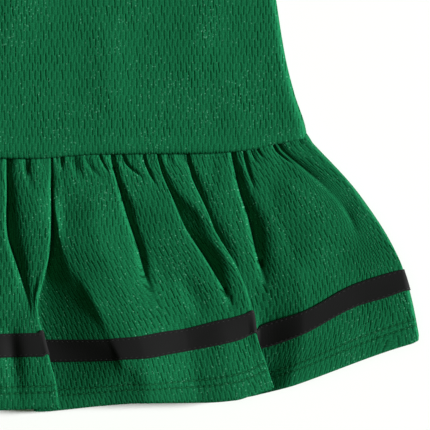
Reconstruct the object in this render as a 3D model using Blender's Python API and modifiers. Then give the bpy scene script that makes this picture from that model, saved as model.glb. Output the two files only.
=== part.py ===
"""Baby jersey dress, laid flat with its front up: sleeveless A-line bodice,
gathered ruffle skirt, a flat tape round the ruffle and bound neck and armholes.

Sizes here are millimetres and are turned into metres as each mesh is made.
X runs across the dress, +Y towards the neck, +Z up. The origin is at the
middle of the lower face of the dress, on the surface that it lies on.
"""
import math
from collections import namedtuple

import bmesh
import bpy
import numpy as np

MM = 0.001
SHARP_ANGLE = math.radians(50.0)   # edges of cloth walls turn by more than this

# Cloth
CLOTH = 1.0            # thickness of every cloth wall
SEAM_GAP = 0.3         # clearance between pieces that are sewn together
WAIST_GAP = 0.6        # drop of the ruffle's top edge, as the ends of both walls lean
FRONT_REST = 1.8       # middle of the front wall where it lies on the back

# Outline of the dress
SHOULDER_TOP = 217.8   # height of the neck end of the shoulder seam
SHOULDER_DROP = 12.0   # how much lower the arm end of the shoulder seam is
NECK_HALF_WIDTH = 62.0
FRONT_NECK_DEPTH = 80.0
BACK_NECK_DEPTH = 34.0
STRAP_END = 88.0       # half width of the bodice at the arm end of the shoulder
UNDERARM = (113.0, 72.0)
ARMHOLE_LOWER_HANDLE = (89.0, 74.0)
ARMHOLE_UPPER_HANDLE = (79.0, 128.0)
BINDING_WIDTH = 8.0
FOLD_STEPS = 3         # sections that turn a binding over the shoulder
STRAP_STEPS = 3        # grid steps across a strap, round half the neck,
NECK_STEPS = 8         # and up an armhole, the same on panels and bindings
ARMHOLE_STEPS = 8
FRONT_SIDE_STEPS = 9   # grid steps up the side seam
BACK_SIDE_STEPS = 4

# Side of the bodice from the waist corner to the underarm
SideRow = namedtuple("SideRow", "height half_width")
SIDE_SEAM = (
    SideRow(-95.6, 141.8),
    SideRow(-89.0, 140.4),
    SideRow(-77.1, 136.3),
    SideRow(-60.0, 132.0),
    SideRow(-33.9, 127.8),
    SideRow(15.0, 121.0),
    SideRow(72.0, 113.0),
)

# Waist seam and hem, from the centre to the side
CurveRow = namedtuple("CurveRow", "across height")
WAIST_SEAM = (
    CurveRow(0.0, -105.0),
    CurveRow(20.0, -105.2),
    CurveRow(34.0, -104.1),
    CurveRow(48.0, -103.3),
    CurveRow(98.0, -102.8),
    CurveRow(108.0, -102.2),
    CurveRow(118.0, -100.9),
    CurveRow(126.0, -99.0),
    CurveRow(136.0, -97.2),
    CurveRow(141.8, -95.6),
)
HEM = (
    CurveRow(0.0, -218.6),
    CurveRow(32.0, -217.9),
    CurveRow(65.0, -215.3),
    CurveRow(104.0, -215.0),
    CurveRow(119.0, -212.0),
    CurveRow(140.0, -206.0),
    CurveRow(158.0, -199.2),
    CurveRow(176.0, -192.4),
    CurveRow(193.0, -187.0),
)

# Heights of the front bodice above where it rests
BODICE_CROWN = 1.2     # rise of the middle of the chest
WAIST_LIFT = 4.0       # rise over the bulk of the gathered seam
WAIST_LIFT_REACH = 46.0
SIDE_ROLL = 16.0       # distance over which a side rolls down to its seam
SHOULDER_FADE = 60.0   # the relief dies away over this distance below the shoulder

Wrinkle = namedtuple("Wrinkle", "across height length width angle rise")
BODICE_WRINKLES = (
    Wrinkle(93.0, -45.0, 62.0, 15.0, 82.0, 0.6),
    Wrinkle(108.0, -80.0, 44.0, 13.0, 112.0, 0.4),
    Wrinkle(52.0, -66.0, 50.0, 17.0, 95.0, 0.4),
    Wrinkle(10.0, -30.0, 60.0, 19.0, 84.0, 0.4),
    Wrinkle(72.0, 30.0, 70.0, 18.0, 62.0, 1.0),
    Wrinkle(-58.0, -50.0, 66.0, 16.0, 102.0, 0.7),
    Wrinkle(-100.0, -70.0, 46.0, 14.0, 70.0, 0.6),
    Wrinkle(-36.0, 26.0, 72.0, 18.0, 112.0, 0.9),
    Wrinkle(-84.0, 66.0, 52.0, 15.0, 130.0, 0.8),
    Wrinkle(28.0, 84.0, 48.0, 16.0, 40.0, 0.7),
)

# The ruffle. Each fold line runs from the waist seam to the hem. Its row gives
# the gathers between it and the next line, its distance from the centre and its
# height at five stations down the ruffle, how far up the cloth has slipped at the
# top and the bottom of the tape, and how far at the hem. An "edge" line is where
# the cloth turns under, and the "under" line after it is where it turns back.
STATIONS = (0.0, 0.3, 0.6, 0.8, 1.0)
FoldLine = namedtuple("FoldLine", "name kind gathers across height tape_slips hem_slip")
FRONT_FOLDS = (
    FoldLine("centre", "lobe", 1.5,
             (0.0, 0.0, 0.0, 0.0, 0.0), (4.8, 7.4, 8.6, 8.6, 5.6), (0.0, 0.0), 0.0),
    FoldLine("first valley", "valley", 3.0,
             (6.3, 7.2, 17.4, 19.4, 21.4), (4.0, 3.8, 5.0, 8.2, 5.2), (0.0, 0.0), 0.4),
    FoldLine("first lobe", "lobe", 1.5,
             (18.0, 21.0, 19.8, 23.4, 26.4), (5.6, 8.8, 9.2, 9.8, 7.2), (0.0, 0.0), 0.4),
    FoldLine("first pleat", "edge", 0.0,
             (26.5, 26.8, 20.9, 26.3, 30.2), (5.2, 9.4, 10.4, 10.8, 7.6), (0.8, 0.6), 0.9),
    FoldLine("first pleat", "under", 1.0,
             (26.5, 25.9, 18.4, 18.9, 18.9), (4.2, 3.6, 3.4, 3.4, 2.8), (-2.4, -1.0), -1.3),
    FoldLine("second lobe, foot", "slope", 1.0,
             (28.2, 31.6, 45.4, 54.8, 56.0), (5.2, 7.4, 9.6, 10.4, 6.0), (-3.9, -2.2), -0.2),
    FoldLine("second lobe", "lobe", 1.5,
             (32.0, 34.8, 49.4, 58.8, 60.0), (5.6, 8.6, 11.4, 12.2, 7.0), (-4.4, -2.6), 0.0),
    FoldLine("second lobe, right", "lobe", 1.5,
             (45.0, 48.0, 62.1, 69.3, 71.1), (5.4, 8.4, 11.0, 11.6, 7.0), (-4.4, -3.0), 0.0),
    FoldLine("second valley", "valley", 1.5,
             (53.1, 62.5, 74.7, 81.0, 84.6), (4.0, 3.8, 6.4, 9.6, 4.0), (-2.2, -1.2), 0.0),
    FoldLine("third lobe", "lobe", 2.5,
             (59.4, 68.0, 82.8, 89.1, 93.6), (5.6, 8.8, 10.2, 10.2, 6.6), (-0.6, 0.0), 0.0),
    FoldLine("third lobe, right", "lobe", 1.0,
             (71.1, 83.7, 100.8, 106.2, 109.8), (5.4, 8.6, 10.2, 10.4, 7.2), (2.6, 2.6), 0.4),
    FoldLine("third valley", "valley", 1.5,
             (73.6, 86.0, 105.8, 112.4, 117.0), (4.0, 3.8, 4.4, 9.4, 6.0), (3.4, 3.2), 0.8),
    FoldLine("fourth lobe", "lobe", 1.0,
             (80.0, 94.0, 112.2, 117.9, 123.7), (5.2, 8.6, 10.2, 10.6, 7.4), (3.4, 3.2), 1.6),
    FoldLine("second pleat", "edge", 0.0,
             (86.4, 98.6, 115.6, 121.5, 127.4), (5.0, 8.4, 10.0, 10.6, 7.4), (3.2, 3.0), 2.2),
    FoldLine("second pleat", "under", 1.0,
             (86.4, 96.3, 110.7, 108.0, 97.2), (4.2, 3.6, 3.4, 3.4, 2.8), (-2.2, -0.8), 0.0),
    FoldLine("fifth lobe, foot", "slope", 0.5,
             (89.0, 101.4, 116.6, 121.4, 118.0), (5.2, 8.2, 6.2, 3.6, 2.8), (-1.6, -0.6), 0.0),
    FoldLine("fifth lobe", "lobe", 1.5,
             (97.2, 107.4, 118.6, 122.4, 121.0), (5.6, 9.0, 6.4, 3.6, 2.8), (-0.4, -0.2), 0.0),
    FoldLine("fourth valley", "valley", 2.0,
             (107.6, 115.6, 123.8, 125.6, 125.0), (4.0, 3.8, 3.8, 3.6, 2.8), (0.4, 0.2), 0.0),
    FoldLine("sixth lobe", "lobe", 1.5,
             (116.1, 129.6, 141.5, 144.5, 148.0), (5.4, 8.8, 9.6, 9.2, 6.6), (2.8, 2.1), 0.0),
    FoldLine("sixth lobe, right", "lobe", 1.0,
             (122.4, 144.0, 158.4, 164.7, 169.2), (5.2, 8.6, 9.2, 9.0, 6.6), (5.0, 3.9), 0.0),
    FoldLine("fifth valley", "valley", 1.5,
             (127.4, 155.6, 170.1, 176.0, 179.6), (3.8, 5.4, 6.6, 6.2, 3.2), (5.8, 4.4), 0.0),
    FoldLine("seventh lobe", "lobe", 1.5,
             (135.0, 161.4, 177.4, 184.0, 188.2), (3.8, 6.0, 6.8, 6.8, 5.0), (5.6, 4.2), 0.0),
    FoldLine("side", "side", 0.0,
             (141.8, 165.6, 181.4, 188.1, 192.6), (1.8, 2.4, 3.4, 3.6, 2.8), (4.8, 3.4), 0.0),
)
PLEAT_EDGE_RADIUS = 0.8     # bend of the cloth where it turns under
PLEAT_SPREAD = 1.0          # spacing of a pleat's lines where it has opened out
PLEAT_OPEN = 4.0            # overlap past which a pleat is fully folded
PLEAT_LINES = 6             # lines that take the cloth over, round and under a pleat
EDGE_BEND_SHARE = 0.2       # most of a pleat's height that its edge bend may take
EDGE_ROUND_SHARE = 0.35     # and most of its overlap
CLOSED_BEND_SHARE = 0.6     # bend at the under line where the pleat is still closed
SLIP_START = 0.3            # part of the way down where the cloth starts to slip
SLIP_SHARE = 0.3            # part of the slip at the tape that is reached there
LEFT_SWAY = 3.5             # how far the left half's folds differ from the right's
LEFT_SWAY_WAVES = 3.0
LEFT_RISE = 0.10            # and how much higher or lower they stand
GATHER_RISE = 0.7           # height of a gather above and below the middle
BACK_GATHER_RISE = 0.35
GATHER_LENGTHS = (0.10, 0.26)
GATHER_FADE = 1.5           # exponent of a gather's fall from the seam to its end
GATHER_TURN = 2.7           # angle by which the length changes from one to the next
SPACING_ROWS = 0.7          # columns are evenly spaced from this part of the way down
SMALLEST_STEP = 0.5
SHARPEST_BEND = 0.6         # bounds how far a tape is moved out at a bend

# The back ruffle lies under the front one and is pressed flatter
BACK_FOLD_COUNT = 15        # fold lines from the centre to the side
BACK_GATHERS = 2.0          # gathers between two of them
BACK_LOW = 0.5              # middle of the back wall where it rests
BACK_CRESTS = (1.2, 1.6, 1.4, 1.4, 1.2)
BACK_TAPE_SPAN = (0.64, 0.86)
BACK_HEM_SLIP = 1.6         # how much shorter the back lies than the front
BACK_SWAY = 2.4             # sideways lean of the back's fold lines at the hem
BACK_SWAY_TURN = 2.3        # angle by which the lean changes from one to the next
BACK_STRENGTHS = (0.5, 1.0)  # lowest and highest share of the crest height
BACK_STRENGTH_TURN = 1.9

# Flat tape sewn round the ruffle, at these parts of the way down it
TAPE_TOP = 0.695
TAPE_BOTTOM = 0.79

# Parts of the way down the ruffle at which its points are worked out
FRONT_ROWS = (0.0, 0.03, 0.08, 0.15, 0.24, 0.36, 0.52, TAPE_TOP,
              (TAPE_TOP + TAPE_BOTTOM) / 2, TAPE_BOTTOM, 0.9, 1.0)
BACK_ROWS = (0.0, 0.07, 0.2, 0.42, BACK_TAPE_SPAN[0], TAPE_TOP, TAPE_BOTTOM,
             BACK_TAPE_SPAN[1], 1.0)

GREEN_JERSEY = (0.005, 0.1, 0.036, 1.0)
JERSEY_ROUGHNESS = 0.7
BLACK_TAPE = (0.01, 0.01, 0.011, 1.0)
TAPE_ROUGHNESS = 0.6


def monotone_curve(knots, values, queries):
    """Smooth curve through the values that never overshoots them.

    The values may have several columns, each its own curve.
    """
    knots = np.asarray(knots, float)
    values = np.asarray(values, float)
    single = values.ndim == 1
    if single:
        values = values[:, None]
    spans = np.diff(knots)[:, None]
    slopes = np.diff(values, axis=0) / spans
    tangents = np.empty_like(values)
    tangents[0] = slopes[0]
    tangents[-1] = slopes[-1]
    before, after = slopes[:-1], slopes[1:]
    turning = before * after <= 0.0
    safe_sum = np.where(turning, 1.0, before + after)
    tangents[1:-1] = np.where(turning, 0.0, 2.0 * before * after / safe_sum)
    queries = np.asarray(queries, float)
    index = np.clip(np.searchsorted(knots, queries, side="right") - 1, 0, len(knots) - 2)
    span = spans[index]
    t = ((queries - knots[index])[:, None]) / span
    result = (
        (1 + 2 * t) * (1 - t) ** 2 * values[index]
        + t * (1 - t) ** 2 * span * tangents[index]
        + t * t * (3 - 2 * t) * values[index + 1]
        + t * t * (t - 1) * span * tangents[index + 1]
    )
    return result[:, 0] if single else result


def smooth_step(value):
    t = np.clip(value, 0.0, 1.0)
    return t * t * (3.0 - 2.0 * t)


def table_height(table, across):
    """Height of a curve from the centre to the side, the same on both halves."""
    rows = np.array(table)
    queries = np.abs(np.ravel(across))
    return monotone_curve(rows[:, 0], rows[:, 1], queries).reshape(np.shape(across))


def waist_height(across):
    return table_height(WAIST_SEAM, across)


def hem_height(across):
    return table_height(HEM, across)


def make_material(name, colour, roughness):
    material = bpy.data.materials.new(name)
    material.use_nodes = True
    shader = material.node_tree.nodes["Principled BSDF"]
    shader.inputs["Base Color"].default_value = colour
    shader.inputs["Roughness"].default_value = roughness
    shader.inputs["Metallic"].default_value = 0.0
    material.diffuse_color = colour
    return material


def add_sheet(name, points, material, side=0.0):
    """Turn a grid of points into a cloth wall.

    The grid's first axis runs across the cloth and its second down it. With
    side 0 the wall is centred on the points, and with 1 it stands above them.
    """
    columns, rows = points.shape[:2]
    index = np.arange(columns * rows).reshape(columns, rows)
    faces = []
    for column in range(columns - 1):
        for row in range(rows - 1):
            faces.append((
                int(index[column, row]),
                int(index[column, row + 1]),
                int(index[column + 1, row + 1]),
                int(index[column + 1, row]),
            ))
    mesh = bpy.data.meshes.new(name)
    mesh.from_pydata((points.reshape(-1, 3) * MM).tolist(), [], faces)
    mesh.update()
    sheet = bpy.data.objects.new(name, mesh)
    sheet.data.materials.append(material)
    dress.objects.link(sheet)
    wall = sheet.modifiers.new("cloth thickness", "SOLIDIFY")
    wall.thickness = CLOTH * MM
    wall.offset = side
    wall.use_even_offset = False
    mesh.shade_smooth()
    mesh.set_sharp_from_angle(angle=SHARP_ANGLE)


def mean_directions(points, axis):
    """Mean of the unit steps on either side of each point, along one axis of a grid."""
    steps = np.diff(points, axis=axis)
    steps /= np.linalg.norm(steps, axis=2, keepdims=True)
    before = np.concatenate([np.take(steps, [0], axis=axis), steps], axis=axis)
    after = np.concatenate([steps, np.take(steps, [-1], axis=axis)], axis=axis)
    return (before + after) / 2


def sheet_normals(points):
    """Upward normals of a grid of points, longer at a bend across the cloth.

    Points moved out along them keep their distance from the faces on both sides.
    """
    across = mean_directions(points, 0)
    normals = np.cross(mean_directions(points, 1), across)
    normals /= np.linalg.norm(normals, axis=2, keepdims=True)
    bend = np.linalg.norm(across, axis=2, keepdims=True)
    return normals / np.maximum(bend, SHARPEST_BEND)


def bodice_edge_curves(neck_depth, side_steps):
    """Right half of a bodice panel's boundary: waist, side with armhole, and top."""
    neck = neck_curve(neck_depth)[NECK_STEPS:]
    along = np.linspace(0.0, 1.0, STRAP_STEPS + 1)[1:]
    strap = np.stack([
        NECK_HALF_WIDTH + (STRAP_END - NECK_HALF_WIDTH) * along,
        SHOULDER_TOP - SHOULDER_DROP * along,
    ], axis=1)
    top = np.concatenate([neck, strap])

    side_rows = np.array(SIDE_SEAM)
    heights = np.linspace(side_rows[0, 0], side_rows[-1, 0], side_steps + 1)
    side = np.stack([monotone_curve(side_rows[:, 0], side_rows[:, 1], heights), heights], axis=1)
    side = np.concatenate([side, armhole_curve()[1:]])

    fraction = np.linspace(0.0, 1.0, len(top))
    across = fraction * side_rows[0, 1]
    waist = np.stack([across, waist_height(across)], axis=1)
    return waist, side, top


def armhole_curve():
    t = np.linspace(0.0, 1.0, ARMHOLE_STEPS + 1)[:, None]
    start = np.array(UNDERARM)
    lower = np.array(ARMHOLE_LOWER_HANDLE)
    upper = np.array(ARMHOLE_UPPER_HANDLE)
    end = np.array((STRAP_END, SHOULDER_TOP - SHOULDER_DROP))
    return ((1 - t) ** 3 * start + 3 * t * (1 - t) ** 2 * lower
            + 3 * t * t * (1 - t) * upper + t ** 3 * end)


def arc_fractions(curve):
    lengths = np.linalg.norm(np.diff(curve, axis=0), axis=1)
    total = np.concatenate([[0.0], np.cumsum(lengths)])
    return total / total[-1]


def bodice_points(neck_depth, side_steps):
    """Flat grid of a bodice panel, from its left side to its right side."""
    waist, side, top = bodice_edge_curves(neck_depth, side_steps)
    centre_bottom, centre_top = waist[0], top[0]
    up = arc_fractions(side)
    centre = centre_bottom + up[:, None] * (centre_top - centre_bottom)
    out = np.linspace(0.0, 1.0, len(top))
    u = out[:, None, None]
    v = up[None, :, None]
    edges = (1 - v) * waist[:, None] + v * top[:, None] + (1 - u) * centre[None] + u * side[None]
    corners = ((1 - u) * (1 - v) * waist[0] + u * (1 - v) * waist[-1]
               + (1 - u) * v * top[0] + u * v * top[-1])
    right = edges - corners
    left = right[::-1].copy()
    left[..., 0] *= -1.0
    flat = np.concatenate([left[:-1], right])
    return flat[:, ::-1]


def bodice_half_width(height):
    rows = np.array(SIDE_SEAM)
    return np.interp(height, rows[:, 0], rows[:, 1])


def front_bodice_height(across, height):
    """Middle of the front bodice wall above the surface."""
    armhole = armhole_curve()
    half_width = np.where(
        height < UNDERARM[1],
        bodice_half_width(height),
        np.interp(height, armhole[:, 1], armhole[:, 0]),
    )
    inset = np.maximum(half_width - np.abs(across), 0.0)
    inside = smooth_step(inset / SIDE_ROLL)
    lift = WAIST_LIFT * np.exp(-np.maximum(height - waist_height(across), 0.0) / WAIST_LIFT_REACH)
    rise = BODICE_CROWN + lift
    for wrinkle in BODICE_WRINKLES:
        angle = math.radians(wrinkle.angle)
        right, up = across - wrinkle.across, height - wrinkle.height
        along = right * math.cos(angle) + up * math.sin(angle)
        beside = up * math.cos(angle) - right * math.sin(angle)
        rise = rise + wrinkle.rise * np.exp(-(along / (wrinkle.length / 2)) ** 2
                                            - (beside / (wrinkle.width / 2)) ** 2)
    shoulder_fade = smooth_step((SHOULDER_TOP - height) / SHOULDER_FADE)
    return FRONT_REST + inside * rise * shoulder_fade


def build_front_bodice():
    flat = bodice_points(FRONT_NECK_DEPTH, FRONT_SIDE_STEPS)
    heights = front_bodice_height(flat[..., 0], flat[..., 1])
    points = np.concatenate([flat, heights[..., None]], axis=2)
    add_sheet("front_bodice", points, jersey)


def build_back_bodice():
    flat = bodice_points(BACK_NECK_DEPTH, BACK_SIDE_STEPS)
    points = np.concatenate([flat, np.zeros(flat.shape[:2] + (1,))], axis=2)
    add_sheet("back_bodice", points, jersey, side=1.0)


def pleat_lines(edge, under, rows):
    """Lines that take the cloth over, round and under a pleat."""
    edge_x = monotone_curve(STATIONS, edge.across, rows)
    under_x = monotone_curve(STATIONS, under.across, rows)
    top = monotone_curve(STATIONS, edge.height, rows)
    bottom = monotone_curve(STATIONS, under.height, rows)
    overlap = np.maximum(edge_x - under_x, 0.0)
    folded = np.clip(overlap / PLEAT_OPEN, 0.0, 1.0)
    drop = top - bottom
    edge_bend = np.minimum(PLEAT_EDGE_RADIUS, EDGE_BEND_SHARE * drop)
    under_share = CLOSED_BEND_SHARE + (1.0 - CLOSED_BEND_SHARE) * folded
    under_bend = (drop / 2 - edge_bend) * under_share
    edge_round = np.minimum(PLEAT_EDGE_RADIUS, EDGE_ROUND_SHARE * overlap)
    under_round = np.minimum(under_bend, overlap / 2)
    across = np.stack([
        edge_x - edge_round, edge_x, edge_x - edge_round,
        under_x + under_round, under_x, under_x + under_round,
    ])
    spread = (np.arange(PLEAT_LINES) - (PLEAT_LINES - 1) / 2) * PLEAT_SPREAD
    across = across + spread[:, None] * (1.0 - folded)
    heights = np.stack([
        top, top - edge_bend, top - 2 * edge_bend,
        bottom + 2 * under_bend, bottom + under_bend, bottom,
    ])
    return across, heights


def line_slips(fold, rows):
    above, below = fold.tape_slips
    slips = monotone_curve(
        (0.0, SLIP_START, TAPE_TOP, TAPE_BOTTOM, 1.0),
        (0.0, SLIP_SHARE * above, above, below, 0.0),
        rows,
    )
    return slips + fold.hem_slip * np.asarray(rows) ** 2


def ruffle_height_down(across, rows, slips):
    """Distance up the dress of each point of the lines, from seam to hem."""
    seam = waist_height(across[:, :1])
    hem = hem_height(across[:, -1:])
    return seam + (hem - seam) * np.asarray(rows)[None] + slips


def right_half_lines(rows):
    """Fold lines of the front ruffle's right half, and the grid steps after each."""
    across, heights, slips, steps = [], [], [], []
    for number, fold in enumerate(FRONT_FOLDS):
        if fold.kind == "edge":
            continue
        slip = line_slips(fold, rows)
        if fold.kind == "under":
            edge = FRONT_FOLDS[number - 1]
            pleat_across, pleat_heights = pleat_lines(edge, fold, rows)
            across.extend(pleat_across)
            heights.extend(pleat_heights)
            share = np.linspace(0.0, 1.0, PLEAT_LINES)[:, None]
            slips.extend((1 - share) * line_slips(edge, rows) + share * slip)
            steps.extend([1] * (PLEAT_LINES - 1))
        else:
            across.append(monotone_curve(STATIONS, fold.across, rows))
            heights.append(monotone_curve(STATIONS, fold.height, rows))
            slips.append(slip)
        steps.append(int(round(2 * fold.gathers)))
    return np.array(across), np.array(heights), np.array(slips), steps


def front_ruffle_lines(rows):
    """All fold lines of the front ruffle, from its left side to its right side."""
    across, heights, slips, steps = right_half_lines(rows)
    side = across[-1]
    turn = LEFT_SWAY_WAVES * math.pi * across / side
    left_across = across + LEFT_SWAY * np.sin(turn) * np.asarray(rows)[None]
    left_heights = FRONT_REST + (heights - FRONT_REST) * (1.0 + LEFT_RISE * np.sin(turn + 1.0))
    left = np.stack([-left_across, ruffle_height_down(left_across, rows, slips), left_heights], axis=2)
    right = np.stack([across, ruffle_height_down(across, rows, slips), heights], axis=2)
    lines = np.concatenate([left[:0:-1], right])
    all_steps = steps[-2::-1] + steps[:-1]
    return lines, all_steps


def back_ruffle_lines(rows):
    """Fold lines of the back ruffle, alternately resting and raised."""
    side = FRONT_FOLDS[-1]
    side_x = monotone_curve(STATIONS, side.across, rows)
    crest = monotone_curve(STATIONS, BACK_CRESTS, rows)
    tape_height = CLOTH + SEAM_GAP + CLOTH / 2
    rows = np.asarray(rows)
    reach = (rows - BACK_TAPE_SPAN[0]) / (TAPE_TOP - BACK_TAPE_SPAN[0])
    leave = (BACK_TAPE_SPAN[1] - rows) / (BACK_TAPE_SPAN[1] - TAPE_BOTTOM)
    over_tape = smooth_step(np.minimum(reach, leave))
    lines, steps = [], []
    for number in range(-BACK_FOLD_COUNT, BACK_FOLD_COUNT + 1):
        share = number / BACK_FOLD_COUNT
        sway = BACK_SWAY * math.sin(BACK_SWAY_TURN * number) * rows * (1.0 - share * share)
        across = share * side_x + sway
        raised = number % 2 == 0 and abs(number) != BACK_FOLD_COUNT
        weakest, strongest = BACK_STRENGTHS
        wave = (1.0 + math.sin(BACK_STRENGTH_TURN * number)) / 2
        strength = weakest + (strongest - weakest) * wave
        heights = BACK_LOW + raised * strength * (crest - BACK_LOW)
        heights = heights + over_tape * (tape_height - heights)
        down = waist_height(across[:1]) + (hem_height(across[-1:]) + BACK_HEM_SLIP
                                          - waist_height(across[:1])) * rows
        lines.append(np.stack([across, down, heights], axis=1))
        steps.append(int(round(2 * BACK_GATHERS)))
    return np.array(lines), steps[:-1]


def gather_rise(column, rows):
    """Rise or fall of one gather at each row, dying away down the ruffle."""
    shortest, longest = GATHER_LENGTHS
    wave = (1.0 + math.sin(GATHER_TURN * (column // 2))) / 2
    length = shortest + (longest - shortest) * wave
    fade = np.clip(1.0 - np.asarray(rows) / length, 0.0, 1.0) ** GATHER_FADE
    return fade if column % 2 == 0 else -fade


def ruffle_points(lines, steps):
    """Fill in the cloth between fold lines."""
    rows = lines.shape[1]
    lower_part = lines[:, int(SPACING_ROWS * rows):]
    gaps = np.linalg.norm(np.diff(lower_part, axis=0), axis=2).mean(axis=1)
    knots = np.concatenate([[0.0], np.cumsum(np.maximum(gaps, SMALLEST_STEP))])
    queries = [0.0]
    for start, end, count in zip(knots[:-1], knots[1:], steps):
        queries.extend(start + (end - start) * (np.arange(count) + 1) / count)
    flat_values = lines.reshape(len(lines), -1)
    return monotone_curve(knots, flat_values, queries).reshape(len(queries), rows, 3)


def add_gathers(points, rows, rise, smooth_columns=()):
    """Raise and lower the columns near the seam, but for those that stay smooth."""
    for column in range(1, len(points) - 1):
        if column not in smooth_columns:
            points[column, :, 2] += rise * gather_rise(column, rows)


def pleat_columns(steps):
    """Columns in a pleat and right beside it, where lines are one step apart."""
    columns = set()
    column = 0
    for count in steps:
        if count == 1:
            columns.update((column, column + 1))
        column += count
    return columns


def build_front_ruffle():
    lines, steps = front_ruffle_lines(FRONT_ROWS)
    points = ruffle_points(lines, steps)
    add_gathers(points, FRONT_ROWS, GATHER_RISE, pleat_columns(steps))
    points[:, 0, 1] -= WAIST_GAP
    add_sheet("front_ruffle", points, jersey)
    build_tape("front_tape", points, FRONT_ROWS, sheet_normals(points))


def build_back_ruffle():
    lines, steps = back_ruffle_lines(BACK_ROWS)
    points = ruffle_points(lines, steps)
    add_gathers(points, BACK_ROWS, BACK_GATHER_RISE)
    points[..., 2] = np.maximum(points[..., 2], BACK_LOW)
    points[:, 0, 1] -= WAIST_GAP
    lower = points.copy()
    lower[..., 2] -= CLOTH / 2
    add_sheet("back_ruffle", lower, jersey, side=1.0)
    build_tape("back_tape", points, BACK_ROWS, np.array((0.0, 0.0, -1.0)))


def build_tape(name, points, rows, normals):
    """Tape made from the ruffle's own points, moved out along their normals."""
    first = rows.index(TAPE_TOP)
    last = rows.index(TAPE_BOTTOM)
    tape = points + (CLOTH + SEAM_GAP) * normals
    add_sheet(name, tape[:, first:last + 1], tape_black)


def offset_path(path, distance):
    """Path moved to the right of its direction of travel."""
    tangents = np.gradient(path, axis=0)
    tangents /= np.linalg.norm(tangents, axis=1, keepdims=True)
    return path + distance * np.stack([tangents[:, 1], -tangents[:, 0]], axis=1), tangents


def binding_sections(path, bottoms, away):
    """Inner and outer corner pairs of the binding along one panel's edge."""
    near, tangents = offset_path(path, away * SEAM_GAP)
    far, _ = offset_path(path, away * (SEAM_GAP + BINDING_WIDTH))
    sections = []
    for near_point, far_point, bottom in zip(near, far, bottoms):
        sections.append((
            (*near_point, bottom), (*far_point, bottom),
            (*far_point, bottom + CLOTH), (*near_point, bottom + CLOTH),
        ))
    return sections, tangents


def binding_fold(section, direction, bottom):
    """Sections that turn the binding from the front panel to the back one."""
    inner = (bottom - CLOTH) / 2
    axis_height = CLOTH + inner
    near, far = np.array(section[0][:2]), np.array(section[1][:2])
    sections = []
    for number in range(1, FOLD_STEPS + 1):
        angle = math.pi * number / (FOLD_STEPS + 1)
        row = []
        for base, radius in ((near, inner), (far, inner), (far, inner + CLOTH), (near, inner + CLOTH)):
            place = base + direction * radius * math.sin(angle)
            row.append((place[0], place[1], axis_height + radius * math.cos(angle)))
        sections.append(tuple(row))
    return sections


def build_binding(name, front_path, back_path, away):
    """Binding ring: along the front edge, over the end, and back along the back."""
    bottoms = front_bodice_height(front_path[:, 0], front_path[:, 1]) - CLOTH / 2
    front, front_tangents = binding_sections(front_path, bottoms, away)
    back, _ = binding_sections(back_path, np.zeros(len(back_path)), away)
    last_fold = binding_fold(front[-1], front_tangents[-1], bottoms[-1])
    first_fold = binding_fold(front[0], -front_tangents[0], bottoms[0])
    flipped_back = [(s[3], s[2], s[1], s[0]) for s in reversed(back)]
    ring = front + last_fold + flipped_back + first_fold[::-1]
    count = len(ring)
    points = [tuple(value * MM for value in corner) for section in ring for corner in section]
    faces = []
    for number in range(count):
        here, there = 4 * number, 4 * ((number + 1) % count)
        for corner in range(4):
            after = (corner + 1) % 4
            faces.append((here + corner, here + after, there + after, there + corner))
    mesh = bpy.data.meshes.new(name)
    mesh.from_pydata(points, [], faces)
    mesh.update()
    work = bmesh.new()
    work.from_mesh(mesh)
    bmesh.ops.recalc_face_normals(work, faces=work.faces)
    work.to_mesh(mesh)
    work.free()
    mesh.shade_smooth()
    mesh.set_sharp_from_angle(angle=SHARP_ANGLE)
    binding = bpy.data.objects.new(name, mesh)
    binding.data.materials.append(jersey)
    dress.objects.link(binding)


def neck_curve(depth):
    angles = np.linspace(-math.pi / 2, math.pi / 2, 2 * NECK_STEPS + 1)
    return np.stack([
        NECK_HALF_WIDTH * np.sin(angles),
        SHOULDER_TOP - depth * np.cos(angles),
    ], axis=1)


def build_bindings():
    build_binding("neck_binding", neck_curve(FRONT_NECK_DEPTH), neck_curve(BACK_NECK_DEPTH), -1)
    right = armhole_curve()
    left = right * np.array((-1.0, 1.0))
    build_binding("right_armhole_binding", right, right, 1)
    build_binding("left_armhole_binding", left, left, -1)


def clear_scene():
    for old in list(bpy.data.objects):
        bpy.data.objects.remove(old, do_unlink=True)


clear_scene()
dress = bpy.data.collections.new("baby_jersey_dress")
bpy.context.scene.collection.children.link(dress)
jersey = make_material("green jersey", GREEN_JERSEY, JERSEY_ROUGHNESS)
tape_black = make_material("black tape", BLACK_TAPE, TAPE_ROUGHNESS)
build_front_bodice()
build_back_bodice()
build_front_ruffle()
build_back_ruffle()
build_bindings()
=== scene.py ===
"""Looks of the baby jersey dress: mesh jersey shells on the solids' forms, the
turned hem, tape, bindings and sewing, a pale floor, soft light and the camera.

Lengths in the tables are millimetres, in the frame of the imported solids: X runs
across the dress, +Y towards the neck, +Z up from the surface that it lies on.
"""
import math
from collections import namedtuple

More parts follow.
